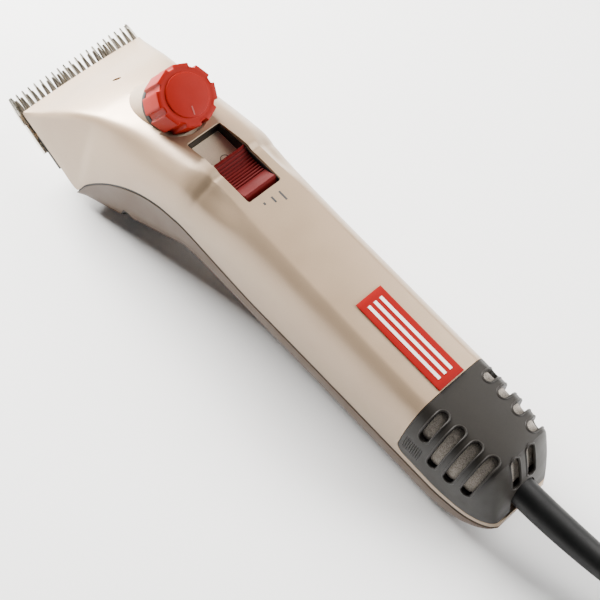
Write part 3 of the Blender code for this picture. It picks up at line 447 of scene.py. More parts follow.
def painted(name, base, metallic=0.3, **more):
    """Satin silver-beige paint with fine metal flake."""
    s = Stuff(name, 0.36, metallic, **more)
    flake = s.ramp(s.noise(2600, 2), shaded(base, 0.94), shaded(base, 1.06))
    cloud = s.ramp(s.noise(28, 4), shaded(base, 0.96), shaded(base, 1.03))
    s.colour(s.mix(flake, cloud, 0.5))
    s.rough(s.span(s.noise(60, 5), 0.31, 0.43))
    s.bump(s.noise(1500, 2), 0.012)
    return s.material


def moulded(name, colour, roughness, grain=0.02, scale=1400, vary=0.08, **more):
    """Moulded plastic with a fine grain and slight mottling."""
    s = Stuff(name, roughness, **more)
    fine = s.ramp(s.noise(scale, 2), shaded(colour, 1 - vary), shaded(colour, 1 + vary))
    broad = s.ramp(s.noise(45, 4), shaded(colour, 1 - vary), shaded(colour, 1 + vary))
    s.colour(s.mix(fine, broad, 0.5))
    s.rough(s.span(s.noise(90, 4), roughness - 0.05, roughness + 0.07))
    s.bump(s.noise(scale, 2), grain)
    return s.material


def steel(name, colour, along, roughness):
    """Ground steel, its scratches running one way."""
    s = Stuff(name, roughness, 1.0)
    lines = s.noise(1800, 3, stretch=along)
    s.colour(s.ramp(lines, shaded(colour, 0.82), shaded(colour, 1.12)))
    s.rough(s.span(s.noise(900, 4, stretch=along), roughness - 0.08, roughness + 0.12))
    s.bump(lines, 0.008)
    return s.material


def mesh_cloth():
    """The filter's fine woven wire mesh, dusty in places."""
    s = Stuff("filter_mesh", 0.75, 0.15)
    cells = s.add("ShaderNodeTexVoronoi", feature="F1")
    cells.inputs["Scale"].default_value = 1900
    s.links.new(s.where, cells.inputs["Vector"])
    wires = s.ramp(cells.outputs["Distance"], (0.40, 0.35, 0.295), (0.13, 0.115, 0.10), 0.25, 0.75)
    dust = s.ramp(s.noise(160, 4), (0.27, 0.235, 0.195), (0.38, 0.335, 0.285))
    s.colour(s.mix(wires, dust, 0.35))
    s.bump(cells.outputs["Distance"], 0.25)
    return s.material


def wound(name, colour, across=(1, 1, 1), metallic=0.75):
    """Enamelled wire, wound side by side."""
    s = Stuff(name, 0.35, metallic)
    place = s.add("ShaderNodeMapping")
    place.inputs["Scale"].default_value = across
    s.links.new(s.where, place.inputs["Vector"])
    wave = s.add("ShaderNodeTexWave", wave_type="BANDS", bands_direction="X")
    wave.inputs["Scale"].default_value = 420
    wave.inputs["Distortion"].default_value = 1.2
    s.links.new(place.outputs["Vector"], wave.inputs["Vector"])
    s.colour(s.ramp(wave.outputs["Fac"], shaded(colour, 0.45), shaded(colour, 1.15), 0.2, 0.8))
    s.bump(wave.outputs["Fac"], 0.15)
    return s.material


def circuit():
    """Green solder mask with paler tracks."""
    s = Stuff("board_green", 0.4, coat=0.2)
    tracks = s.add("ShaderNodeTexBrick")
    tracks.inputs["Scale"].default_value = 260
    s.links.new(s.where, tracks.inputs["Vector"])
    green = s.ramp(tracks.outputs["Fac"], (0.012, 0.10, 0.035), (0.05, 0.24, 0.09))
    s.colour(s.mix(green, s.ramp(s.noise(500, 2), (0.01, 0.09, 0.03), (0.03, 0.16, 0.06)), 0.4))
    s.bump(tracks.outputs["Fac"], 0.06)
    return s.material


# ---------------------------------------------------------------- the shells' sections


def crease_of(x):
    """The fillet size along the top's edge."""
    return blended(CREASE_STATIONS, x)[0]


def hollow_of(x, t):
    """How far the flank is pressed in just behind the head, where the grip starts."""
    return 2.4 * hump(x, 132, 12.0) * hump(t, 0.2, 0.16)


def groove_of(x):
    """The soft step across the top where the head meets the grip."""
    return 0.5 * hump(x, 124.4, 1.9)


def flank_curve(x, inset=0.0):
    """The four handles of the flank's curve at x."""
    ridge_y, ridge_z, crown, seam_y, seam_z, bulge = blended(TOP_STATIONS, x)
    ridge_z -= groove_of(x)
    seam_z += SEAM_LIP
    ridge_y -= 0.75 * inset
    ridge_z -= inset
    seam_y -= inset
    across, down = seam_y - ridge_y, ridge_z - seam_z
    flat = ((0.33, 0.33), (0.67, 0.67))
    full = ((0.70, 0.10), (1.19, 0.38))
    handles = [
        (
            ridge_y + across * (f[0] + bulge * (g[0] - f[0])),
            ridge_z - down * (f[1] + bulge * (g[1] - f[1])),
        )
        for f, g in zip(flat, full)
    ]
    return [(ridge_y, ridge_z), *handles, (seam_y, seam_z)], crown


def flank_point(x, t, inset=0.0):
    """A point (y, z) on the right flank, t from the ridge to the seam."""
    curve, _ = flank_curve(x, inset)
    y, z = bezier(curve, t)
    press = hollow_of(x, t) if inset == 0 else 0.0
    return y - 0.9 * press, z - 0.2 * press


def crown_point(x, y):
    """The top's height at x and y."""
    curve, crown = flank_curve(x)
    return curve[0][1] + crown * (1 - (y / curve[0][0]) ** 2)


# Points of the upper section on its crown and round its crease, and the crease's own place.
CROWN_STEPS, CORNER_STEPS = 8, 6
CREASE_INDEX = CROWN_STEPS + CORNER_STEPS // 2


def top_half(x, inset=0.0, crown_steps=CROWN_STEPS, corner_steps=CORNER_STEPS, flank_steps=20):
    """The right half of the upper section as (y, z), from the middle to the seam."""
    curve, crown = flank_curve(x, inset)
    (ridge_y, ridge_z), first = curve[0], curve[1]
    soft = min(crease_of(x), 0.45 * ridge_y)
    reach = 3 * math.hypot(first[0] - ridge_y, first[1] - ridge_z)
    start = min(soft / max(reach, 0.01), 0.4)

    def on_crown(y):
        return (y, ridge_z + crown * (1 - (y / ridge_y) ** 2))

    edge = ridge_y - soft
    points = [on_crown(edge * k / crown_steps) for k in range(crown_steps)]
    a, b, c = on_crown(edge), flank_point(x, start, inset), curve[0]
    for k in range(corner_steps + 1):
        t = k / corner_steps
        s = 1 - t
        points.append(tuple(s * s * a[i] + 2 * s * t * c[i] + t * t * b[i] for i in (0, 1)))
    for k in range(1, flank_steps + 1):
        points.append(flank_point(x, start + (1 - start) * k / flank_steps, inset))
    return points


def low_half(x, inset=0.0):
    """The right half of the lower section at x, from the seam to the bottom's centre."""
    _, _, _, seam_y, seam_z, _ = blended(TOP_STATIONS, x)
    bottom, square = blended(LOW_STATIONS, x)
    seam_y -= inset
    seam_z -= SEAM_LIP
    bottom += inset
    deep = seam_z - bottom
    curve = [(seam_y, seam_z), (seam_y, seam_z - square * deep), (seam_y * square, bottom), (0.0, bottom)]
    return [bezier(curve, k / 22) for k in range(23)]


def upper_ring(x, inset=0.0, drop=None, **counts):
    """The whole upper section, closed straight across with softened seam edges."""
    half = top_half(x, inset, **counts)
    seam_y, seam_z = half[-1]
    if drop is None:
        half.append((seam_y - EDGE_ROUND, seam_z - EDGE_ROUND))
    elif drop:
        half.append((seam_y, seam_z - drop))
    return [(x, -y, z) for y, z in reversed(half[1:])] + [(x, y, z) for y, z in half]


def lower_ring(x, inset=0.0, lift=None):
    """The whole lower section, closed straight across below or above the seam."""
    half = low_half(x, inset)
    seam_y, seam_z = half[0]
    if lift is None:
        half.insert(0, (seam_y - EDGE_ROUND, seam_z + EDGE_ROUND))
    else:
        half.insert(0, (seam_y, seam_z + lift))
    return [(x, y, z) for y, z in half] + [(x, -y, z) for y, z in reversed(half[:-1])]


# ---------------------------------------------------------------- shells


def cap_edge(x):
    """The height of the rear cap's lower edge."""
    t = (x - CAP_FRONT) / (SHELL_END - CAP_FRONT)
    return CAP_EDGE_FRONT + (CAP_EDGE_REAR - CAP_EDGE_FRONT) * t


def cap_outline(grow=0.0):
    """The cap's side outline in x and z, with its lower front corner rounded."""
    corner = 5.5
    x0, low = CAP_FRONT - grow, cap_edge(CAP_FRONT) - grow
    points = [(x0, 60)]
    for k in range(9):
        angle = math.radians(180 + 90 * k / 8)
        points.append((x0 + corner + corner * math.cos(angle), low + corner + corner * math.sin(angle)))
    points += [(340, cap_edge(340) - grow), (340, 60)]
    return points


def upper_housing(paint):
    """The painted upper shell with the knob's seat, the switch window and the room for the cap."""
    xs = steps(11.4, 60, 1.4) + steps(61.5, 112, 1.7) + steps(113.2, 130, 0.8)
    xs += steps(132, 160, 2.0) + steps(163, 266, 4.0) + steps(268, 306, 3.0)
    xs += steps(308.8, SHELL_END, 1.2)
    bm = bmesh.new()
    loft(bm, [upper_ring(x) for x in xs])
    made = finish("upper_shell", bm)

    def hollow(bm):
        inner = [13.4, *steps(20, 110, 6), *steps(114, 150, 6), *steps(160, 300, 20), 308, 314, 321]
        counts = {"crown_steps": 3, "corner_steps": 3, "flank_steps": 8}
        loft(bm, [upper_ring(x, WALL, 6, **counts) for x in inner])

    def window(bm):
        tight = rounded(WINDOW_FRONT, WINDOW_REAR, WINDOW_HALF, 1.0)
        eased = rounded(WINDOW_FRONT, WINDOW_REAR, WINDOW_HALF, 1.15, 0.15)
        rings = [[(x, y, 28.0) for x, y in tight]]
        rings.append([(x, y, crown_point(x, y) - 0.2) for x, y in tight])
        rings.append([(x, y, crown_point(x, y) + 0.05) for x, y in eased])
        rings.append([(x, y, 60.0) for x, y in eased])
        loft(bm, rings)

    def cap_room(bm):
        loft(bm, [[(x, y, z) for x, z in cap_outline(0.3)] for y in (-40, 40)])

    def round_the_knob(profile, sides):
        return bar(profile, sides, PIVOT_U, 0.0, HEAD)

    collar = [(15.2, 58), (14.6, 66), (13.9, 73), (13.4, 79), (13.1, 82), (13.0, COLLAR_TOP - 0.5)]
    cut(made, round_the_knob([*collar, (COLLAR_R, COLLAR_TOP)], 64), "UNION")
    inside = tool(hollow)
    cut(inside, round_the_knob([(DISH_WALL_R, DISH_UNDER), (DISH_WALL_R, 120)], 32))
    cut(made, inside)
    cut(made, round_the_knob([(DISH_R, COLLAR_TOP), (DISH_R, 120)], 64))
    cut(made, round_the_knob([(COLLAR_BORE_R, 40), (COLLAR_BORE_R, 110)], 40))
    cut(made, tool(window))
    cut(made, tool(cap_room))
    cut(made, tool(oil_slit))
    piece(made, paint, stands_for=["upper_housing"])


def oil_slit(bm):
    """The small slot in the head's top that takes a drop of oil."""
    rings = []
    for high in (8, 28):
        ring = []
        for a in angles(20):
            long, wide = 2.2 * math.sin(a), 1.05 * math.cos(a)
            ring.append((39 + 0.91 * wide + 0.42 * long, 0.91 * long - 0.42 * wide, high))
        rings.append(ring)
    loft(bm, rings)


def lower_housing(paint):
    """The painted lower shell with its deep screw holes and flat feet; its paint is darkened as painted
    shade.
    """
    xs = steps(53, 130, 1.6) + steps(133, 290, 5.0) + steps(292, SHELL_END, 1.6)
    bm = bmesh.new()
    loft(bm, [lower_ring(x) for x in xs])
    made = finish("lower_shell", bm)

    def hollow(bm):
        inner = [50, *steps(53, 131, 6), *steps(150, 290, 20), *steps(296, 319.5, 4)]
        loft(bm, [lower_ring(x, WALL, 8) for x in inner])

    def ground(bm):
        block(bm, (-400, -100, -90), (400, 100, 0))

    inside = tool(hollow)
    for side in (-1, 1):
        cut(inside, bar([(7.2, -60), (7.2, -18)], 32, BELLY_SCREW_X, side * BELLY_SCREW_Y))
    cut(made, inside)
    for side in (-1, 1):
        hole = [(BELLY_HOLE_R, -60), (BELLY_HOLE_R, BELLY_HOLE_TOP)]
        cut(made, bar(hole, 40, BELLY_SCREW_X, side * BELLY_SCREW_Y))
    cut(made, tool(ground, ROW))
    piece(made, paint, stands_for=["lower_housing"])


def seam_shade_strip(dark):
    """A dark strip put in the gap between the shells as painted shade."""
    bm = bmesh.new()
    xs = steps(54, 130, 2) + steps(134, 290, 8) + steps(293, 322.4, 2.5)
    for side in (-1, 1):
        rings = []
        for x in xs:
            _, _, _, seam_y, seam_z, _ = blended(TOP_STATIONS, x)
            near, far, high = seam_y - 0.25, seam_y - 1.8, SEAM_GAP / 2 - 0.02
            corners = ((near, high), (near, -high), (far, -high), (far, high))
            rings.append([(x, side * y, seam_z + z) for y, z in corners])
        loft(bm, rings)
    piece(finish("seam_shade_strip", bm), dark)


# ---------------------------------------------------------------- rear cap


def surface_point(x, s, side):
    """A point on the upper shell, s millimetres down the flank from the crease, or up the crown."""
    half = [Vector((x, side * y, z)) for y, z in top_half(x)]
    i, step, left = CREASE_INDEX, (1 if s >= 0 else -1), abs(s)
    while 0 <= i + step < len(half):
        gap = (half[i + step] - half[i]).length
        if gap >= left:
            return half[i].lerp(half[i + step], left / gap)
        left -= gap
        i += step
    return half[i]


def surface_normal(x, s, side):
    """The shell's outward normal there, smoothed over the crease."""
    along = surface_point(x + 0.6, s, side) - surface_point(x - 0.6, s, side)
    down = surface_point(x, s + 3.0, side) - surface_point(x, s - 3.0, side)
    return (along.cross(down) * side).normalized()


def side_slot(x, top, bottom, side):
    """A slot over the crease and down one flank: its surface, ends and half width."""

    def place(across, s):
        return surface_point(x + across, s, side), surface_normal(x + across, s, side)

    return place, top, bottom, SLOT_HALF


REAR_NORMAL = Vector((0.919, 0.0, 0.394))


def rear_slot(y):
    """A slot down the slanted rear face."""

    def place(across, s):
        x, left = 309.0, s
        while left > 0:
            fall = (crown_point(x, y + across) - crown_point(x + 0.1, y + across)) / 0.1
            x += 0.1
            left -= 0.1 * math.hypot(1.0, fall)
        return Vector((x, y + across, crown_point(x, y + across))), REAR_NORMAL

    return place, 0.0, 20.4, 2.4


def slots():
    """Every slot in the cap."""
    made = []
    for side in (-1, 1):
        for x, bottom in zip(SLOT_XS, (15.5, 25.5, 25.0, 23.5)):
            made.append(side_slot(x, -3.4, bottom, side))
    return made + [rear_slot(-4.9), rear_slot(4.9)]


def slot_path(slot):
    """The slot's stadium outline as surface points and outward normals."""
    place, top, bottom, half = slot
    flat = []
    for end, start in ((top + half, 180), (bottom - half, 0)):
        for k in range(9):
            angle = math.radians(start + 180 * k / 8)
            flat.append((half * math.cos(angle), end + half * math.sin(angle)))
    path = []
    for i, (a, s) in enumerate(flat):
        to_s = flat[(i + 1) % len(flat)][1]
        path.append(place(a, s))
        if abs(to_s - s) > half:
            path += [place(a, s + (to_s - s) * k / 16) for k in range(1, 16)]
    return path


def slot_cutter(slot):
    """A cutter through the cap's wall, built across the slot from one end to the other."""
    deep, reach = 3.4, 2.0
    place, top, bottom, half = slot
    ends = [half * (1 - math.cos(math.radians(15 * k))) for k in range(1, 6)]
    runs = [top + e for e in ends] + steps(top + half, bottom - half, 1.2)
    runs += [bottom - e for e in reversed(ends)]

    def draw(bm):
        rings = []
        for s in runs:
            short = half - min(half, s - top, bottom - s)
            wide = math.sqrt(half**2 - short**2)
            ring = []
            for across, lift in ((-wide, reach), (wide, reach), (wide, -deep), (-wide, -deep)):
                here, normal = place(across, s)
                ring.append(here + normal * lift)
            rings.append(ring)
        loft(bm, rings)

    return tool(draw)


def inward(path, i):
    """The direction in the surface from a path's point to the path's inside."""
    here, normal = path[i]
    along = (path[(i + 1) % len(path)][0] - path[i - 1][0]).normalized()
    return normal.cross(along).normalized()


def slot_turns_left(path):
    """Whether the path runs the wrong way round for inward() to point inside."""
    middle = sum((p for p, _ in path), Vector()) / len(path)
    return inward(path, 4).dot(middle - path[4][0]) < 0


def slot_rim(bm, path):
    """A low rounded lip round a slot."""
    sections = ((-1.15, -0.15), (-0.95, 0.22), (-0.6, 0.36), (-0.25, 0.22), (-0.05, -0.25), (-0.6, -0.5))
    rings = []
    for i, (here, normal) in enumerate(path):
        to_inside = inward(path, i)
        rings.append([here + to_inside * a + normal * b for a, b in sections])
    band(bm, rings)


def rear_cap(plastic):
    """The slotted rear cap: soft edges, lipped slots, a ribbed thumb pad and the cord's arch."""
    xs = [CAP_FRONT, CAP_FRONT + 0.3, *steps(CAP_FRONT + 2, 306, 1.8), *steps(307, 322.2, 0.9)]
    bm = bmesh.new()
    loft(bm, [upper_ring(x, 0.0, 3) for x in xs])
    made = finish("slotted_cap", bm)

    def outside(bm):
        outline = cap_outline()
        outline = [(outline[0][0], 70), *outline[1:-2], (350, outline[-2][1]), (350, 70)]
        loft(bm, [[(x, y, z) for x, z in outline] for y in (-45, 45)])

    def hollow(bm):
        inner = [250, 264, *steps(268, 306, 5), *steps(307.5, 319.2, 1.6)]
        counts = {"crown_steps": 4, "corner_steps": 4, "flank_steps": 10}
        loft(bm, [upper_ring(x, WALL, 12, **counts) for x in inner])

    def arch(bm):
        reach = 7.9
        turns = [math.pi * k / 24 for k in range(25)]
        outline = [(reach * math.cos(a), CORD_Z + reach * math.sin(a)) for a in turns]
        outline += [(-reach, -20), (reach, -20)]
        loft(bm, [[(x, y, z) for y, z in outline] for x in (305, 345)])

    cut(made, tool(outside), "INTERSECT")
    cut(made, tool(hollow))
    cut(made, tool(arch))
    for slot in slots():
        cut(made, slot_cutter(slot))
    piece(made, plastic, stands_for=["rear_cap"])
    bm = bmesh.new()
    for slot in slots():
        path = slot_path(slot)
        if slot_turns_left(path):
            path.reverse()
        slot_rim(bm, path)
    piece(finish("slot_rims", bm), plastic)
    bm = bmesh.new()
    for side in (-1, 1):
        for k in range(9):
            x = 268.9 + 1.15 * k
            rings = []
            for s in steps(21.5, 31.5, 1.0):
                here, normal = surface_point(x, s, side), surface_normal(x, s, side)
                lift = 0.42 * min(1.0, 6 * hump(s, 26.5, 4.2) ** 2)
                ring = [here + Vector((-0.4, 0, 0)) - normal * 0.25, here + normal * lift]
                rings.append(ring + [here + Vector((0.4, 0, 0)) - normal * 0.25])
            loft(bm, rings)
    piece(finish("cap_thumb_ribs", bm), plastic)


def filter_liner(cloth):
    """The mesh that lies just under the cap's slots."""
    xs = [*steps(270.5, 306, 3), *steps(307.5, 316.6, 1.5)]
    bm = bmesh.new()
    counts = {"crown_steps": 6, "corner_steps": 5, "flank_steps": 14}
    rows = []
    for x in xs:
        back = 2.0 * ease(x, 304, 311)
        outer = upper_ring(x, WALL - 0.3, 0, **counts)
        inner = upper_ring(x, WALL + 1.0, 0, **counts)
        rows.append([(x - back, y, z) for _, y, z in outer + inner[::-1]])
    loft(bm, rows)
    made = finish("mesh_filter", bm)

    def below(bm):
        block(bm, (250, -50, -30), (340, 50, 9.0))

    cut(made, tool(below))
    piece(made, cloth, stands_for=["air_filter"])


# ---------------------------------------------------------------- label and switch


def plate_strip(bm, x0, x1, y0, y1, lift, thick):
    """A thin strip that follows the crown, between x0 and x1 and y0 and y1."""
    rings = []
    for x in steps(x0, x1, 3.0):
        ys = steps(y0, y1, 1.2)
        under = [(x, y, crown_point(x, y) + lift) for y in ys]
        over = [(x, y, crown_point(x, y) + lift + thick) for y in reversed(ys)]
        rings.append(under + over)
    loft(bm, rings)


def label(red, pale):
    """The red plate with plain pale stripes."""
    bm = bmesh.new()
    plate_strip(bm, 212.8, 266.1, -7.8, 7.8, 0.3, 0.5)
    made = finish("red_plate", bm)
    bevelled(made, 0.15)
    piece(made, red, stands_for=["label_plate"])
    bm = bmesh.new()
    for middle in (3.7, 0.0, -3.7):
        plate_strip(bm, 217, 262, middle - 0.8, middle + 0.8, 0.78, 0.12)
    piece(finish("plate_stripes", bm), pale)


def switch(red, dark, beige, ink):
    """The window's liner and floor, the ribbed slider, and the printed marks."""
    bm = bmesh.new()
    rings = []
    front, rear, half = WINDOW_FRONT + 0.12, WINDOW_REAR - 0.12, WINDOW_HALF - 0.12
    for grow, lift in ((0.0, None), (0.0, -0.45), (-0.3, -0.45), (-0.3, None)):
        outline = rounded(front, rear, half, 1.0 + grow, grow)
        ring = []
        for x, y in outline:
            top = min(crown_point(x, WINDOW_HALF) + (lift or 0), 43.55)
            ring.append((x, y, FLOOR_TOP + 0.1 if lift is None else top))
        rings.append(ring)
    band(bm, rings)
    piece(finish("window_liner", bm), dark, stands_for=["switch_bezel"])

    bm = bmesh.new()
    low = (WINDOW_FRONT - 1.5, -WINDOW_HALF - 2, FLOOR_TOP - 1.6)
    block(bm, low, (WINDOW_REAR + 1.5, WINDOW_HALF + 2, FLOOR_TOP))
    floor = finish("window_floor", bm)
    bevelled(floor, 0.2)
    piece(floor, beige, stands_for=["switch_floor"])

    bm = bmesh.new()
    high = FLOOR_TOP + 0.06
    turned(bm, [(2.0, FLOOR_TOP), (2.42, FLOOR_TOP), (2.42, high), (2.0, high)], 40)
    shift(bm, 116.0, 1.6)
    piece(finish("off_mark", bm), ink)
    bm = bmesh.new()
    for k in range(3):
        plate_strip(bm, 148.6, 150.0 + 2.0 * k, -5.4 + 4.8 * k, -4.4 + 4.8 * k, 0.01, 0.05)
    piece(finish("speed_marks", bm), ink)

    ribs, pitch = 10, 1.55
    outline = [(SLIDER_FRONT, FLOOR_TOP + 0.3), (SLIDER_FRONT, 43.6), (SLIDER_FRONT + 0.3, 44.0)]
    for k in range(ribs):
        x = SLIDER_FRONT + 0.5 + k * pitch
        for dx, dz in ((0, 0), (0.12, -0.1), (0.4, -0.62), (0.8, -0.62), (1.08, -0.1), (1.2, 0)):
            outline.append((x + dx, slider_dip(x + dx) + dz))
    outline += [(135.8, 41.6), (138.0, 42.6), (140.0, 43.9), (140.7, 44.3), (141.3, 44.1)]
    outline += [(SLIDER_REAR, 41.0), (SLIDER_REAR, FLOOR_TOP + 0.3)]
    bm = bmesh.new()
    rings = []
    for y, shrink in ((-1, 0.35), (-1, 0.0), (-0.4, 0.0), (0.4, 0.0), (1, 0.0), (1, 0.35)):
        at = y * (SLIDER_HALF - (0.0 if shrink else 0.35))
        rings.append([(x, at, z - (shrink if z > 38 else 0)) for x, z in outline])
    loft(bm, rings)
    slider = finish("ribbed_slider", bm, sharp=28)
    piece(slider, red, "slider", stands_for=["switch_slider"])


def slider_dip(x):
    """The slider's hollow top, between its front edge and the thumb ramp."""
    t = min(max((x - SLIDER_FRONT) / (136.0 - SLIDER_FRONT), 0.0), 1.0)
    return 44.0 - 2.0 * t - 3.2 * math.sin(math.pi * t) ** 0.8 * (1 - 0.35 * t)


# ---------------------------------------------------------------- head


def tooth(bm, middle, sections):
    """One tooth from (u, half width, top, bottom) sections, tip first."""
    rings = []
    for u, half, high, under in sections:
        chamfer = min(0.35 * half, 0.3)
        rings.append(
            [
                (u, middle - half, under + chamfer),
                (u, middle - half + chamfer, under),
                (u, middle + half - chamfer, under),
                (u, middle + half, under + chamfer),
                (u, middle + half, high - chamfer),
                (u, middle + half - chamfer, high),
                (u, middle - half + chamfer, high),
                (u, middle - half, high - chamfer),
            ]
        )
    loft(bm, rings)


def comb(stuff):
    """The fixed comb: a ground plate with slim pointed teeth and broad end teeth."""
    pitch = (COMB_WIDTH - 2 * COMB_EDGE) / (COMB_TEETH - 1)
    bm = bmesh.new()
    for k in range(COMB_TEETH):
        middle = -COMB_WIDTH / 2 + COMB_EDGE + k * pitch
        edge = k in (0, COMB_TEETH - 1)
        wide = 2.0 if edge else 0.9
        tip = 1.0 if edge else 0.4
        sections = [
            (0.0, 0.6 * tip, 0.05, -0.45),
            (0.35, tip, 0.3, -0.75),
            (1.6, tip + 0.16 * (wide - tip), 0.6, -1.1),
            (5.0, tip + 0.45 * (wide - tip), 1.15, -1.45),
            (9.0, tip + 0.85 * (wide - tip), 1.45, -1.5),
            (COMB_GULLET + 1.5, wide, 1.45, -1.5),
        ]
        tooth(bm, middle, sections)
    made = finish("comb_teeth", bm, HEAD, sharp=28)
    piece(made, stuff)
    bm = bmesh.new()
    prism(bm, comb_plate_outline(pitch), -1.5, 1.5)
    plate = finish("comb_plate", bm, HEAD)
    bevelled(plate, 0.25)
    piece(plate, stuff, stands_for=["comb"])


def comb_plate_outline(pitch):
    """The comb's plate with round gullets between its teeth."""
    points = [(COMB_LENGTH, COMB_WIDTH / 2), (COMB_LENGTH, -COMB_WIDTH / 2)]
    points.append((COMB_GULLET - 1.0, -COMB_WIDTH / 2))
    for k in range(COMB_TEETH - 1):
        middle = -COMB_WIDTH / 2 + COMB_EDGE + (k + 0.5) * pitch
        for a in (-1.0, -0.6, 0.0, 0.6, 1.0):
            points.append((COMB_GULLET - a * a, middle + 0.95 * a))
    points.append((COMB_GULLET - 1.0, COMB_WIDTH / 2))
    return points


def cutter(stuff, back):
    """The swinging cutter, its teeth sloped down to their tips."""
    pitch = (CUTTER_WIDTH - 2 * CUTTER_EDGE) / (CUTTER_TEETH - 1)
    bm = bmesh.new()
    for k in range(CUTTER_TEETH):
        middle = -CUTTER_WIDTH / 2 + CUTTER_EDGE + k * pitch
        sections = [
            (2.6, 0.42, 2.35, CUTTER_LOW),
            (3.2, 0.62, 2.7, CUTTER_LOW),
            (7.0, 0.9, 3.6, CUTTER_LOW),
            (10.0, 1.02, CUTTER_HIGH, CUTTER_LOW),
            (13.8, 1.05, CUTTER_HIGH, CUTTER_LOW),
        ]
        tooth(bm, middle, sections)
    made = finish("cutter_teeth", bm, HEAD, sharp=28)
    piece(made, stuff, "lever")
    bm = bmesh.new()
    half = CUTTER_WIDTH / 2
    prism(bm, [(12.4, -half), (12.4, half), (21, half), (21, -half)], CUTTER_LOW, CUTTER_HIGH)
    plate = finish("cutter_plate", bm, HEAD)
    bevelled(plate, 0.3)
    # The back plate takes the near-black steel, as painted shade under the head.
    piece(plate, back, "lever", stands_for=["cutter"])


def frame_flanges_painted_shade(stuff):
    """The head casting's edges between the comb and the shell, near black as painted shade in the gap."""
    bm = bmesh.new()
    for side in (-1, 1):
        near, far = sorted((side * 31.0, side * 38.3))
        block(bm, (24.4, near, 1.7), (43.5, far, 4.9))
    made = finish("frame_flanges_painted_shade", bm, HEAD)
    bevelled(made, 0.4)
    piece(made, stuff)


def comb_screws(stuff):
    """Cheese-head screws with a slot, under the comb."""
    for name, side in (("comb_screw_left", -1), ("comb_screw_right", 1)):
        bm = bmesh.new()
        rod(bm, [(3.6, -4.4), (4.25, -4.2), (4.6, -3.8), (4.6, -1.8)], 40)
        shift(bm, 29.2, side * 27)
        made = finish(name + "_head", bm, HEAD)

        def groove(bm):
            block(bm, (24.0, side * 27 - 0.55, -6), (34.5, side * 27 + 0.55, -3.4))

        cut(made, tool(groove, HEAD))
        piece(made, stuff, stands_for=[name])


LOBES = 8
# Half of one lobe and half of the groove beside it: degrees from the lobe's middle, radius.
LOBE = (
    (0.0, 14.95),
    (5.0, 15.0),
    (10.0, 15.16),
    (13.6, 15.3),
    (14.6, 15.22),
    (15.3, 14.9),
    (16.2, 14.1),
    (17.2, 13.86),
    (19.5, 13.75),
)


def knob_ring(height, shrink=0.0, round_at=None):
    """The knob's outline at one height, or a circle with the same number of points."""
    pitch = 360 / LOBES
    half = [*LOBE, (pitch / 2, 13.72)]
    whole = [(-a, r) for a, r in reversed(half[1:-1])] + half
    ring = []
    for lobe in range(LOBES):
        for degrees, radius in whole:
            angle = math.radians(degrees + pitch * (lobe + 0.5))
            reach = round_at or radius - shrink
            ring.append((reach * math.cos(angle), reach * math.sin(angle), height))
    return ring


def knob(red, mark_red):
    """The eight-lobed tension knob with a raised disc and an index line."""
    high = KNOB_HIGH - KNOB_LOW
    profile = ((0.0, 0.35), (0.35, 0.0), (high - 1.5, 0.1), (high - 0.95, 0.3), (high - 0.65, 0.85))
    rings = [knob_ring(z, shrink) for z, shrink in profile]
    discs = ((12.4, 0.75), (11.0, 0.8), (10.75, 0.72), (10.5, 0.12), (10.1, 0.0), (3.0, 0.1))
    rings += [knob_ring(high - drop, round_at=radius) for radius, drop in discs]
    bm = bmesh.new()
    loft(bm, rings)
    place = HEAD @ Matrix.Translation((PIVOT_U, 0, KNOB_LOW))
    made = finish("lobed_knob", bm, place, sharp=40)

    hollow = [(13.0, -5), (13.0, 5.0), (11.0, 6.5), (7.6, 8.0), (7.6, 12.6)]
    cut(made, bar(hollow, 48, place=place))
    piece(made, red, "knob", stands_for=["tension_knob"])
    bm = bmesh.new()
    block(bm, (-0.35, -9.6, high - 0.05), (0.35, -5.4, high + 0.1))
    mark = finish("knob_index", bm, place @ Matrix.Rotation(math.radians(74), 4, "Z"))
    piece(mark, mark_red, "knob")


def knob_seal(dark):
    """The dark seal ring between the knob and its seat, made wide enough to be painted shade under the
    knob as well.
    """
    bm = bmesh.new()
    # The outer skirt, out to 13.9 mm and down to 80.5, is painted shade under the knob's edge.
    profile = [(10.2, 84.45), (13.3, 84.45), (13.3, 80.5), (13.9, 80.5), (13.9, 84.3), (13.7, 84.65)]
    profile += [(12.5, 84.7), (12.5, 86.3), (12.2, 86.6), (10.4, 86.6), (10.2, 86.4)]
    turned(bm, profile, 64)
    place = HEAD @ Matrix.Translation((PIVOT_U, 0, 0))
    piece(finish("seal_ring_and_shade", bm, place), dark, stands_for=["knob_seal"])


def belly_solid(bm):
    """The belly round the screws, a little inside its own surface."""
    loft(bm, [lower_ring(x, 0.3, 8) for x in steps(70, 96, 2)])


def belly_screws(stuff, hole_shade_lining):
    """The screws deep in the belly's holes, each in a dark sleeve that is painted shade in the hole."""
    for name, side in (("belly_screw_left", -1), ("belly_screw_right", 1)):
        bm = bmesh.new()
        rod(bm, [(3.0, -25.4), (3.35, -25.2), (3.5, -24.8), (3.5, -22.3)], 32)
        shift(bm, BELLY_SCREW_X, side * BELLY_SCREW_Y)
        made = finish(name + "_head", bm)
        cut(made, bar([(1.7, -27), (1.7, -23.6)], 6, BELLY_SCREW_X, side * BELLY_SCREW_Y))
        piece(made, stuff, stands_for=[name])
        # The dark sleeve lines the hole as painted shade.
        bm = bmesh.new()
        turned(bm, [(4.1, -22.2), (4.9, -22.2), (4.9, -45), (4.1, -45)], 40)
        shift(bm, BELLY_SCREW_X, side * BELLY_SCREW_Y)
        sleeve = finish(name + "_sleeve", bm)
        cut(sleeve, tool(belly_solid), "INTERSECT")
        piece(sleeve, hole_shade_lining)


# ---------------------------------------------------------------- cord


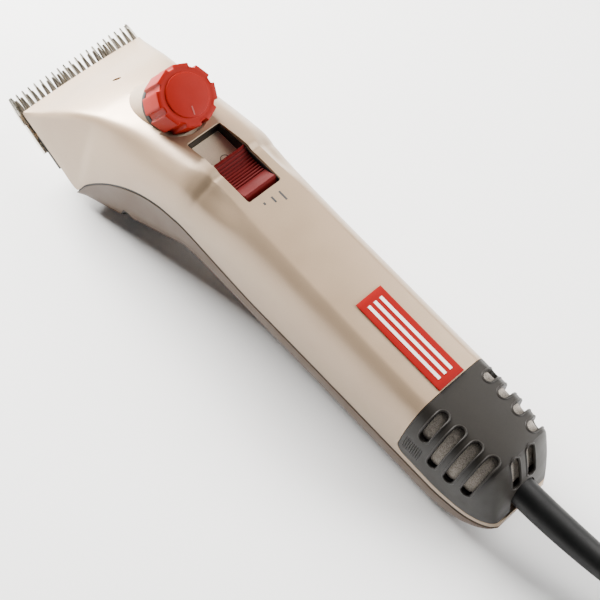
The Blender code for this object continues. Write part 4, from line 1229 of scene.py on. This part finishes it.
def swept(bm, path, radii, sides):
    """A round bar along a path of points, with a radius for each."""
    rings = []
    side = None
    for i, here in enumerate(path):
        ahead = Vector(path[min(i + 1, len(path) - 1)]) - Vector(path[max(i - 1, 0)])
        ahead.normalize()
        side = side or ahead.cross(Vector((0, 0, 1))).normalized()
        side = (side - ahead * side.dot(ahead)).normalized()
        up = side.cross(ahead)
        round_here = [radii[i] * (math.cos(a) * side + math.sin(a) * up) for a in angles(sides)]
        rings.append([Vector(here) + out for out in round_here])
    loft(bm, rings)


def strain_relief(rubber):
    """The tapered sleeve on the cord, with a core that reaches into the cord's end."""
    xs = [316, 317, 320, *steps(323, 378, 2.5), 380, 382.4, 383.6]
    xs += [RELIEF_END, RELIEF_END + 0.02, RELIEF_END + 1.2]
    path = [(x, 2.6 * max(0.0, (x - 323) / 42) ** 1.6, CORD_Z) for x in xs]
    knots = [(316, 7.2), (323, 7.2), (344, 7.0), (366, 6.5), (376, 6.0), (382.4, 5.5), (383.6, 5.1)]
    knots += [(RELIEF_END, 4.4), (RELIEF_END + 0.02, 3.3), (RELIEF_END + 1.2, 3.3)]
    radii = [blended(knots, x)[0] for x in xs]
    bm = bmesh.new()
    swept(bm, path, radii, 40)
    piece(finish("cord_sleeve", bm), rubber, stands_for=["strain_relief"])


# Where the cord lies, in the row frame and in millimetres: from the sleeve down to the table
# and round to the coil, and from the coil's top to the plug.
LEAD_ROUTE = (
    (224.5, 6.2, 22.4),
    (230.0, 6.7, 20.8),
    (236.0, 6.8, 18.4),
    (243.5, 5.6, 14.6),
    (251.0, 2.4, 10.4),
    (258.5, -3.2, 6.8),
    (265.5, -11.0, 4.6),
    (270.5, -18.5, 3.8),
    (275.3, -25.5, 3.7),
    (280.8, -32.0, 3.7),
)
TAIL_ROUTE = (
    (349.8, 23.2, 32.8),
    (344.6, 28.8, 33.6),
    (338.3, 32.9, 34.7),
    (332.0, 35.0, 35.7),
    (326.0, 35.6, 36.4),
)
COIL_COLUMNS, COIL_LAYERS = 3, 4
COIL_PITCH = 7.12


def smooth_route(points, count):
    """Points read from a smooth curve through the route's own points."""
    knots = [Vector(p) for p in points]
    knots = [2 * knots[0] - knots[1], *knots, 2 * knots[-1] - knots[-2]]
    made = []
    for a, b, c, d in zip(knots, knots[1:], knots[2:], knots[3:]):
        for k in range(count):
            t = k / count
            bend = (2 * a - 5 * b + 4 * c - d) * t * t + (3 * b - a - 3 * c + d) * t**3
            made.append(0.5 * (2 * b + (c - a) * t + bend))
    made.append(knots[-2])
    return made


def coil_points():
    """The wound length: each layer's turns run in, then out, one layer on the next."""
    centre = Vector((*COIL_CENTRE, 0))
    entry = Vector(LEAD_ROUTE[-1]) - centre
    start = math.atan2(entry.y, entry.x)
    leave = Vector(TAIL_ROUTE[0]) - centre
    extra = (math.atan2(leave.y, leave.x) - start) % (2 * math.pi)
    outer = COIL_OUTER - CORD_R - 0.1
    inner = outer - COIL_PITCH * (COIL_COLUMNS - 1)
    total = 2 * math.pi * (COIL_COLUMNS * COIL_LAYERS - 1) + extra
    count = round(total / (2 * math.pi) * 24)
    points = []
    for k in range(1, count):
        angle = total * k / count
        turn = angle / (2 * math.pi)
        layer = min(int(turn / COIL_COLUMNS), COIL_LAYERS - 1)
        within = turn - layer * COIL_COLUMNS
        column = min(int(within), COIL_COLUMNS - 1)
        share = within - column
        step = ease(share, 0.72, 1.0)
        if layer % 2:
            column, step = COIL_COLUMNS - 1 - column, -step
        last = within > COIL_COLUMNS - 1
        slide = 0.0 if last else step
        rise = ease(share, 0.72, 1.0) if last else 0.0
        radius = outer - COIL_PITCH * (column + slide)
        radius = min(max(radius, inner), outer)
        radius += (entry.xy.length - outer) * (1 - ease(turn, 0.0, 0.18))
        height = CORD_R + 0.2 + COIL_PITCH * 0.985 * min(layer + rise, COIL_LAYERS - 1)
        height += ease(angle, total - 3.4, total - 1.9) * (TAIL_ROUTE[0][2] - height)
        radius += ease(angle, total - 2.9, total) * (leave.xy.length - radius)
        angle += start
        points.append(centre + Vector((radius * math.cos(angle), radius * math.sin(angle), height)))
    return points


def mains_cord(rubber):
    """The whole cord on one curve: down to the table, the wound coil, and the tail to the plug."""
    lead = smooth_route(LEAD_ROUTE, 4)
    tail = smooth_route(TAIL_ROUTE, 4)
    points = lead + coil_points() + tail
    data = bpy.data.curves.new("mains_lead", "CURVE")
    data.dimensions = "3D"
    data.bevel_depth = CORD_R * MM
    data.bevel_resolution = 5
    data.use_fill_caps = True
    line = data.splines.new("POLY")
    line.points.add(len(points) - 1)
    for target, source in zip(line.points, points):
        target.co = (*(source * MM), 1.0)
    made = bpy.data.objects.new("mains_lead", data)
    bpy.context.scene.collection.objects.link(made)
    made.data.materials.append(rubber)
    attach(made, ROOT)
    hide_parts("mains_cord", "cord_tail", "cord_coil")
    length = sum((b - a).length for a, b in zip(points, points[1:])) * MM
    return made, length, [c * MM for c in points[0]]


def plug(rubber, stuff):
    """The moulded two-pin plug with grip ribs and part-sleeved pins."""
    sections = (
        (0.0, 3.9, 3.9),
        (1.0, 4.2, 4.2),
        (9.0, 5.2, 4.8),
        (11.0, 7.4, 5.6),
        (13.0, 12.0, 6.5),
        (16.0, 15.4, 6.8),
        (22.0, 17.2, 6.9),
        (35.8, 17.6, 6.9),
        (36.7, 17.2, 6.5),
        (37.0, 16.6, 6.0),
    )
    rings = []
    for along in steps(0.0, 37.0, 0.75):
        half_y, half_z = blended(sections, along)
        groove = 0.35 * (0.5 - 0.5 * math.cos(2 * math.pi * along / 2.2)) if 18 < along < 32 else 0.0
        ring = []
        for a in angles(48):
            cy = math.copysign(abs(math.cos(a)) ** 0.6, math.cos(a))
            cz = math.copysign(abs(math.sin(a)) ** 0.6, math.sin(a))
            pinch = groove * abs(math.cos(a)) ** 2
            ring.append((PLUG_START - 0.3 - along, PLUG_Y + (half_y - pinch) * cy, PLUG_Z + half_z * cz))
        rings.append(ring)
    bm = bmesh.new()
    loft(bm, rings)
    body = finish("moulded_plug", bm, ROW)
    piece(body, rubber, stands_for=["plug_body"])
    pins = []
    for name, side in (("plug_pin_left", -1), ("plug_pin_right", 1)):
        bm = bmesh.new()
        start = PLUG_START - 37.6
        turn = Matrix.Rotation(math.radians(-90), 4, "Y")
        rod(bm, [(2.0, 0.0), (2.0, 16.6), (1.85, 17.8), (1.4, 18.6), (0.7, 19.0)], 32)
        place = Matrix.Translation((start, PLUG_Y + side * 9.3, PLUG_Z)) @ turn
        pin = finish(name + "_metal", bm, place)
        piece(pin, stuff, stands_for=[name])
        bm = bmesh.new()
        turned(bm, [(1.95, 0.0), (2.0, 0.0), (2.0, 9.5), (1.95, 9.6)], 32)
        sleeve = finish(name + "_sleeve", bm, place)
        piece(sleeve, rubber)
        pins += [pin, sleeve]
    return [body, *pins]


# ---------------------------------------------------------------- carried-over CAD nodes


def inside_pieces(finishes):
    """Give every CAD node that is still shown its own procedural material."""
    for stuff, names in finishes:
        for name in names:
            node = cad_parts[name]
            node.data.materials.clear()
            node.data.materials.append(stuff)


# ---------------------------------------------------------------- stage


# The camera stands above and behind the clipper on its -y side, here in the handle frame.
# Its place is in millimetres and its turn in degrees.
CAMERA_PLACE = (343.56, -253.45, 579.25)
CAMERA_TURN = (26.09, -6.95, 46.94)
CAMERA_LENS = 81.62


def camera():
    """The camera at the photograph's angle."""
    data = bpy.data.cameras.new("camera")
    data.sensor_width = 36
    data.lens = CAMERA_LENS
    data.clip_end = 20
    made = bpy.data.objects.new("camera", data)
    bpy.context.scene.collection.objects.link(made)
    turn = Euler([math.radians(a) for a in CAMERA_TURN]).to_matrix().to_4x4()
    world = HANDLE @ Matrix.Translation(CAMERA_PLACE) @ turn
    world.translation = world.translation * MM
    made.matrix_world = world
    bpy.context.scene.camera = made


def lamp(name, place, target, size, power, tint=(1, 1, 1)):
    """A soft square light, placed and aimed in metres."""
    data = bpy.data.lights.new(name, "AREA")
    data.shape = "RECTANGLE"
    data.size, data.size_y = size
    data.energy = power
    data.color = tint
    made = bpy.data.objects.new(name, data)
    bpy.context.scene.collection.objects.link(made)
    made.location = place
    aim = Vector(target) - Vector(place)
    made.rotation_euler = aim.to_track_quat("-Z", "Y").to_euler()


def floor():
    """A plain pale table top."""
    bm = bmesh.new()
    bmesh.ops.create_grid(bm, x_segments=2, y_segments=2, size=6.0)
    mesh = bpy.data.meshes.new("floor")
    bm.to_mesh(mesh)
    bm.free()
    made = bpy.data.objects.new("floor", mesh)
    bpy.context.scene.collection.objects.link(made)
    s = Stuff("floor_paper", 0.85)
    s.colour(s.ramp(s.noise(4, 2), (0.90, 0.90, 0.895), (0.92, 0.92, 0.915)))
    mesh.materials.append(s.material)


def light():
    """Soft studio light: a strong box before the comb, one high on the +y side, one behind."""
    world = bpy.data.worlds.new("studio")
    world.use_nodes = True
    world.node_tree.nodes["Background"].inputs["Color"].default_value = (0.95, 0.96, 1.0, 1)
    world.node_tree.nodes["Background"].inputs["Strength"].default_value = 0.12
    bpy.context.scene.world = world
    lamp("front_softbox", (-1.0, 0.06, 0.56), (-0.05, 0, 0.03), (0.6, 0.5), 92, (1.0, 0.985, 0.96))
    lamp("overhead", (0.45, 0.85, 0.9), (0.0, 0, 0.04), (1.0, 1.0), 22, (1.0, 0.98, 0.95))
    lamp("rear_softbox", (0.8, 0.45, 0.35), (0.15, 0, 0.03), (0.35, 0.35), 12)


# ---------------------------------------------------------------- the whole clipper


def build():
    """Dress the frame."""
    paint = painted("silver_paint", (0.38, 0.27, 0.175), coat=0.15)
    # The belly's paint is the top's paint made far darker, as painted shade for the shaded underside.
    belly_paint_painted_shade = painted("silver_paint_belly_painted_shade", (0.10, 0.064, 0.040), metallic=0.1, specular=0.2)
    knob_red = moulded("knob_red", (0.27, 0.006, 0.0012), 0.5, 0.01, 900, 0.05, specular=0.12)
    knob_mark = moulded("knob_mark", (0.30, 0.02, 0.012), 0.5, 0.01)
    slider_red = moulded("slider_red", (0.085, 0.0016, 0.0014), 0.55, 0.015, specular=0.12)
    plate_red = moulded("plate_red", (0.21, 0.002, 0.0018), 0.5, 0.006, 600, 0.04, specular=0.12)
    stripe_pale = moulded("stripe_pale", (0.78, 0.75, 0.70), 0.45, 0.004)
    cap_grey = moulded("cap_grey", (0.013, 0.0108, 0.0085), 0.48, 0.03, 1700, 0.12, specular=0.28)
    # Dark plastic for the switch and the inner parts, also used as painted shade in the shells' seam and
    # in the belly's holes.
    dark = moulded("dark_plastic", (0.008, 0.006, 0.005), 0.5, 0.02, specular=0.25)
    beige = moulded("floor_beige", (0.82, 0.65, 0.48), 0.5, 0.02)
    ink = moulded("printed_ink", (0.03, 0.03, 0.03), 0.6, 0.002)
    rubber = moulded("black_rubber", (0.004, 0.004, 0.004), 0.5, 0.02, 1100, 0.15, specular=0.3)
    carbon = moulded("brush_carbon", (0.03, 0.03, 0.03), 0.6, 0.02)
    blade = steel("blade_steel", (0.66, 0.62, 0.54), (0.05, 1, 1), 0.26)
    # The cutter's steel is darker than the comb's, as painted shade between the comb's teeth.
    cutter_steel_painted_shade = steel("cutter_steel_painted_shade", (0.18, 0.152, 0.118), (0.05, 1, 1), 0.35)
    # Near-black steel: painted shade on the head frame, the cutter's back plate and the edges beside the
    # comb.
    shadow_steel = steel("head_casting_painted_shade", (0.03, 0.027, 0.024), (1, 1, 1), 0.55)
    tool_steel = steel("tool_steel", (0.60, 0.58, 0.55), (1, 0.05, 1), 0.3)
    screw_steel = steel("screw_steel", (0.34, 0.32, 0.30), (1, 1, 1), 0.35)
    alloy = steel("cast_alloy", (0.52, 0.51, 0.50), (1, 1, 1), 0.45)
    brass = steel("gear_brass", (0.62, 0.45, 0.18), (1, 1, 0.05), 0.28)
    laminations = wound("laminations", (0.42, 0.41, 0.40), (3, 0.01, 0.01), 0.9)
    copper = wound("copper_wire", (0.66, 0.26, 0.10))
    green = circuit()
    cloth = mesh_cloth()

    upper_housing(paint)
    lower_housing(belly_paint_painted_shade)
    seam_shade_strip(dark)
    rear_cap(cap_grey)
    filter_liner(cloth)
    label(plate_red, stripe_pale)
    switch(slider_red, dark, beige, ink)
    comb(blade)
    cutter(cutter_steel_painted_shade, shadow_steel)
    frame_flanges_painted_shade(shadow_steel)
    comb_screws(tool_steel)
    knob(knob_red, knob_mark)
    knob_seal(rubber)
    belly_screws(screw_steel, dark)
    strain_relief(rubber)
    cord, length, exit_point = mains_cord(rubber)
    plug_pieces = plug(rubber, tool_steel)
    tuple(exit_point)

    shafts = ["motor_shaft", "drive_pinion", "crank_axle", "crank_pin", "tension_bolt", "tension_spring"]
    bearings = ["motor_bearing_front", "motor_bearing_rear", "crank_bearing"]
    pins = ["cutter_pin_left", "cutter_pin_right"]
    windings = ["field_coil_left", "field_coil_right", "rotor_winding_front", "rotor_winding_rear"]
    finishes = (
        (dark, ["speed_switch", "cooling_fan", "rear_bracket"]),
        (green, ["control_board"]),
        (laminations, ["stator_core", "rotor_core"]),
        (copper, windings),
        (tool_steel, shafts + bearings + pins),
        (brass, ["commutator", "crank_gear", "tension_sleeve"]),
        (alloy, ["gear_frame", "swing_lever"]),
        (carbon, ["brush_holder_left", "brush_holder_right"]),
        # The head frame takes the near-black steel as painted shade.
        (shadow_steel, ["head_frame"]),
    )
    inside_pieces(finishes)

    floor()
    light()
    camera()


build()
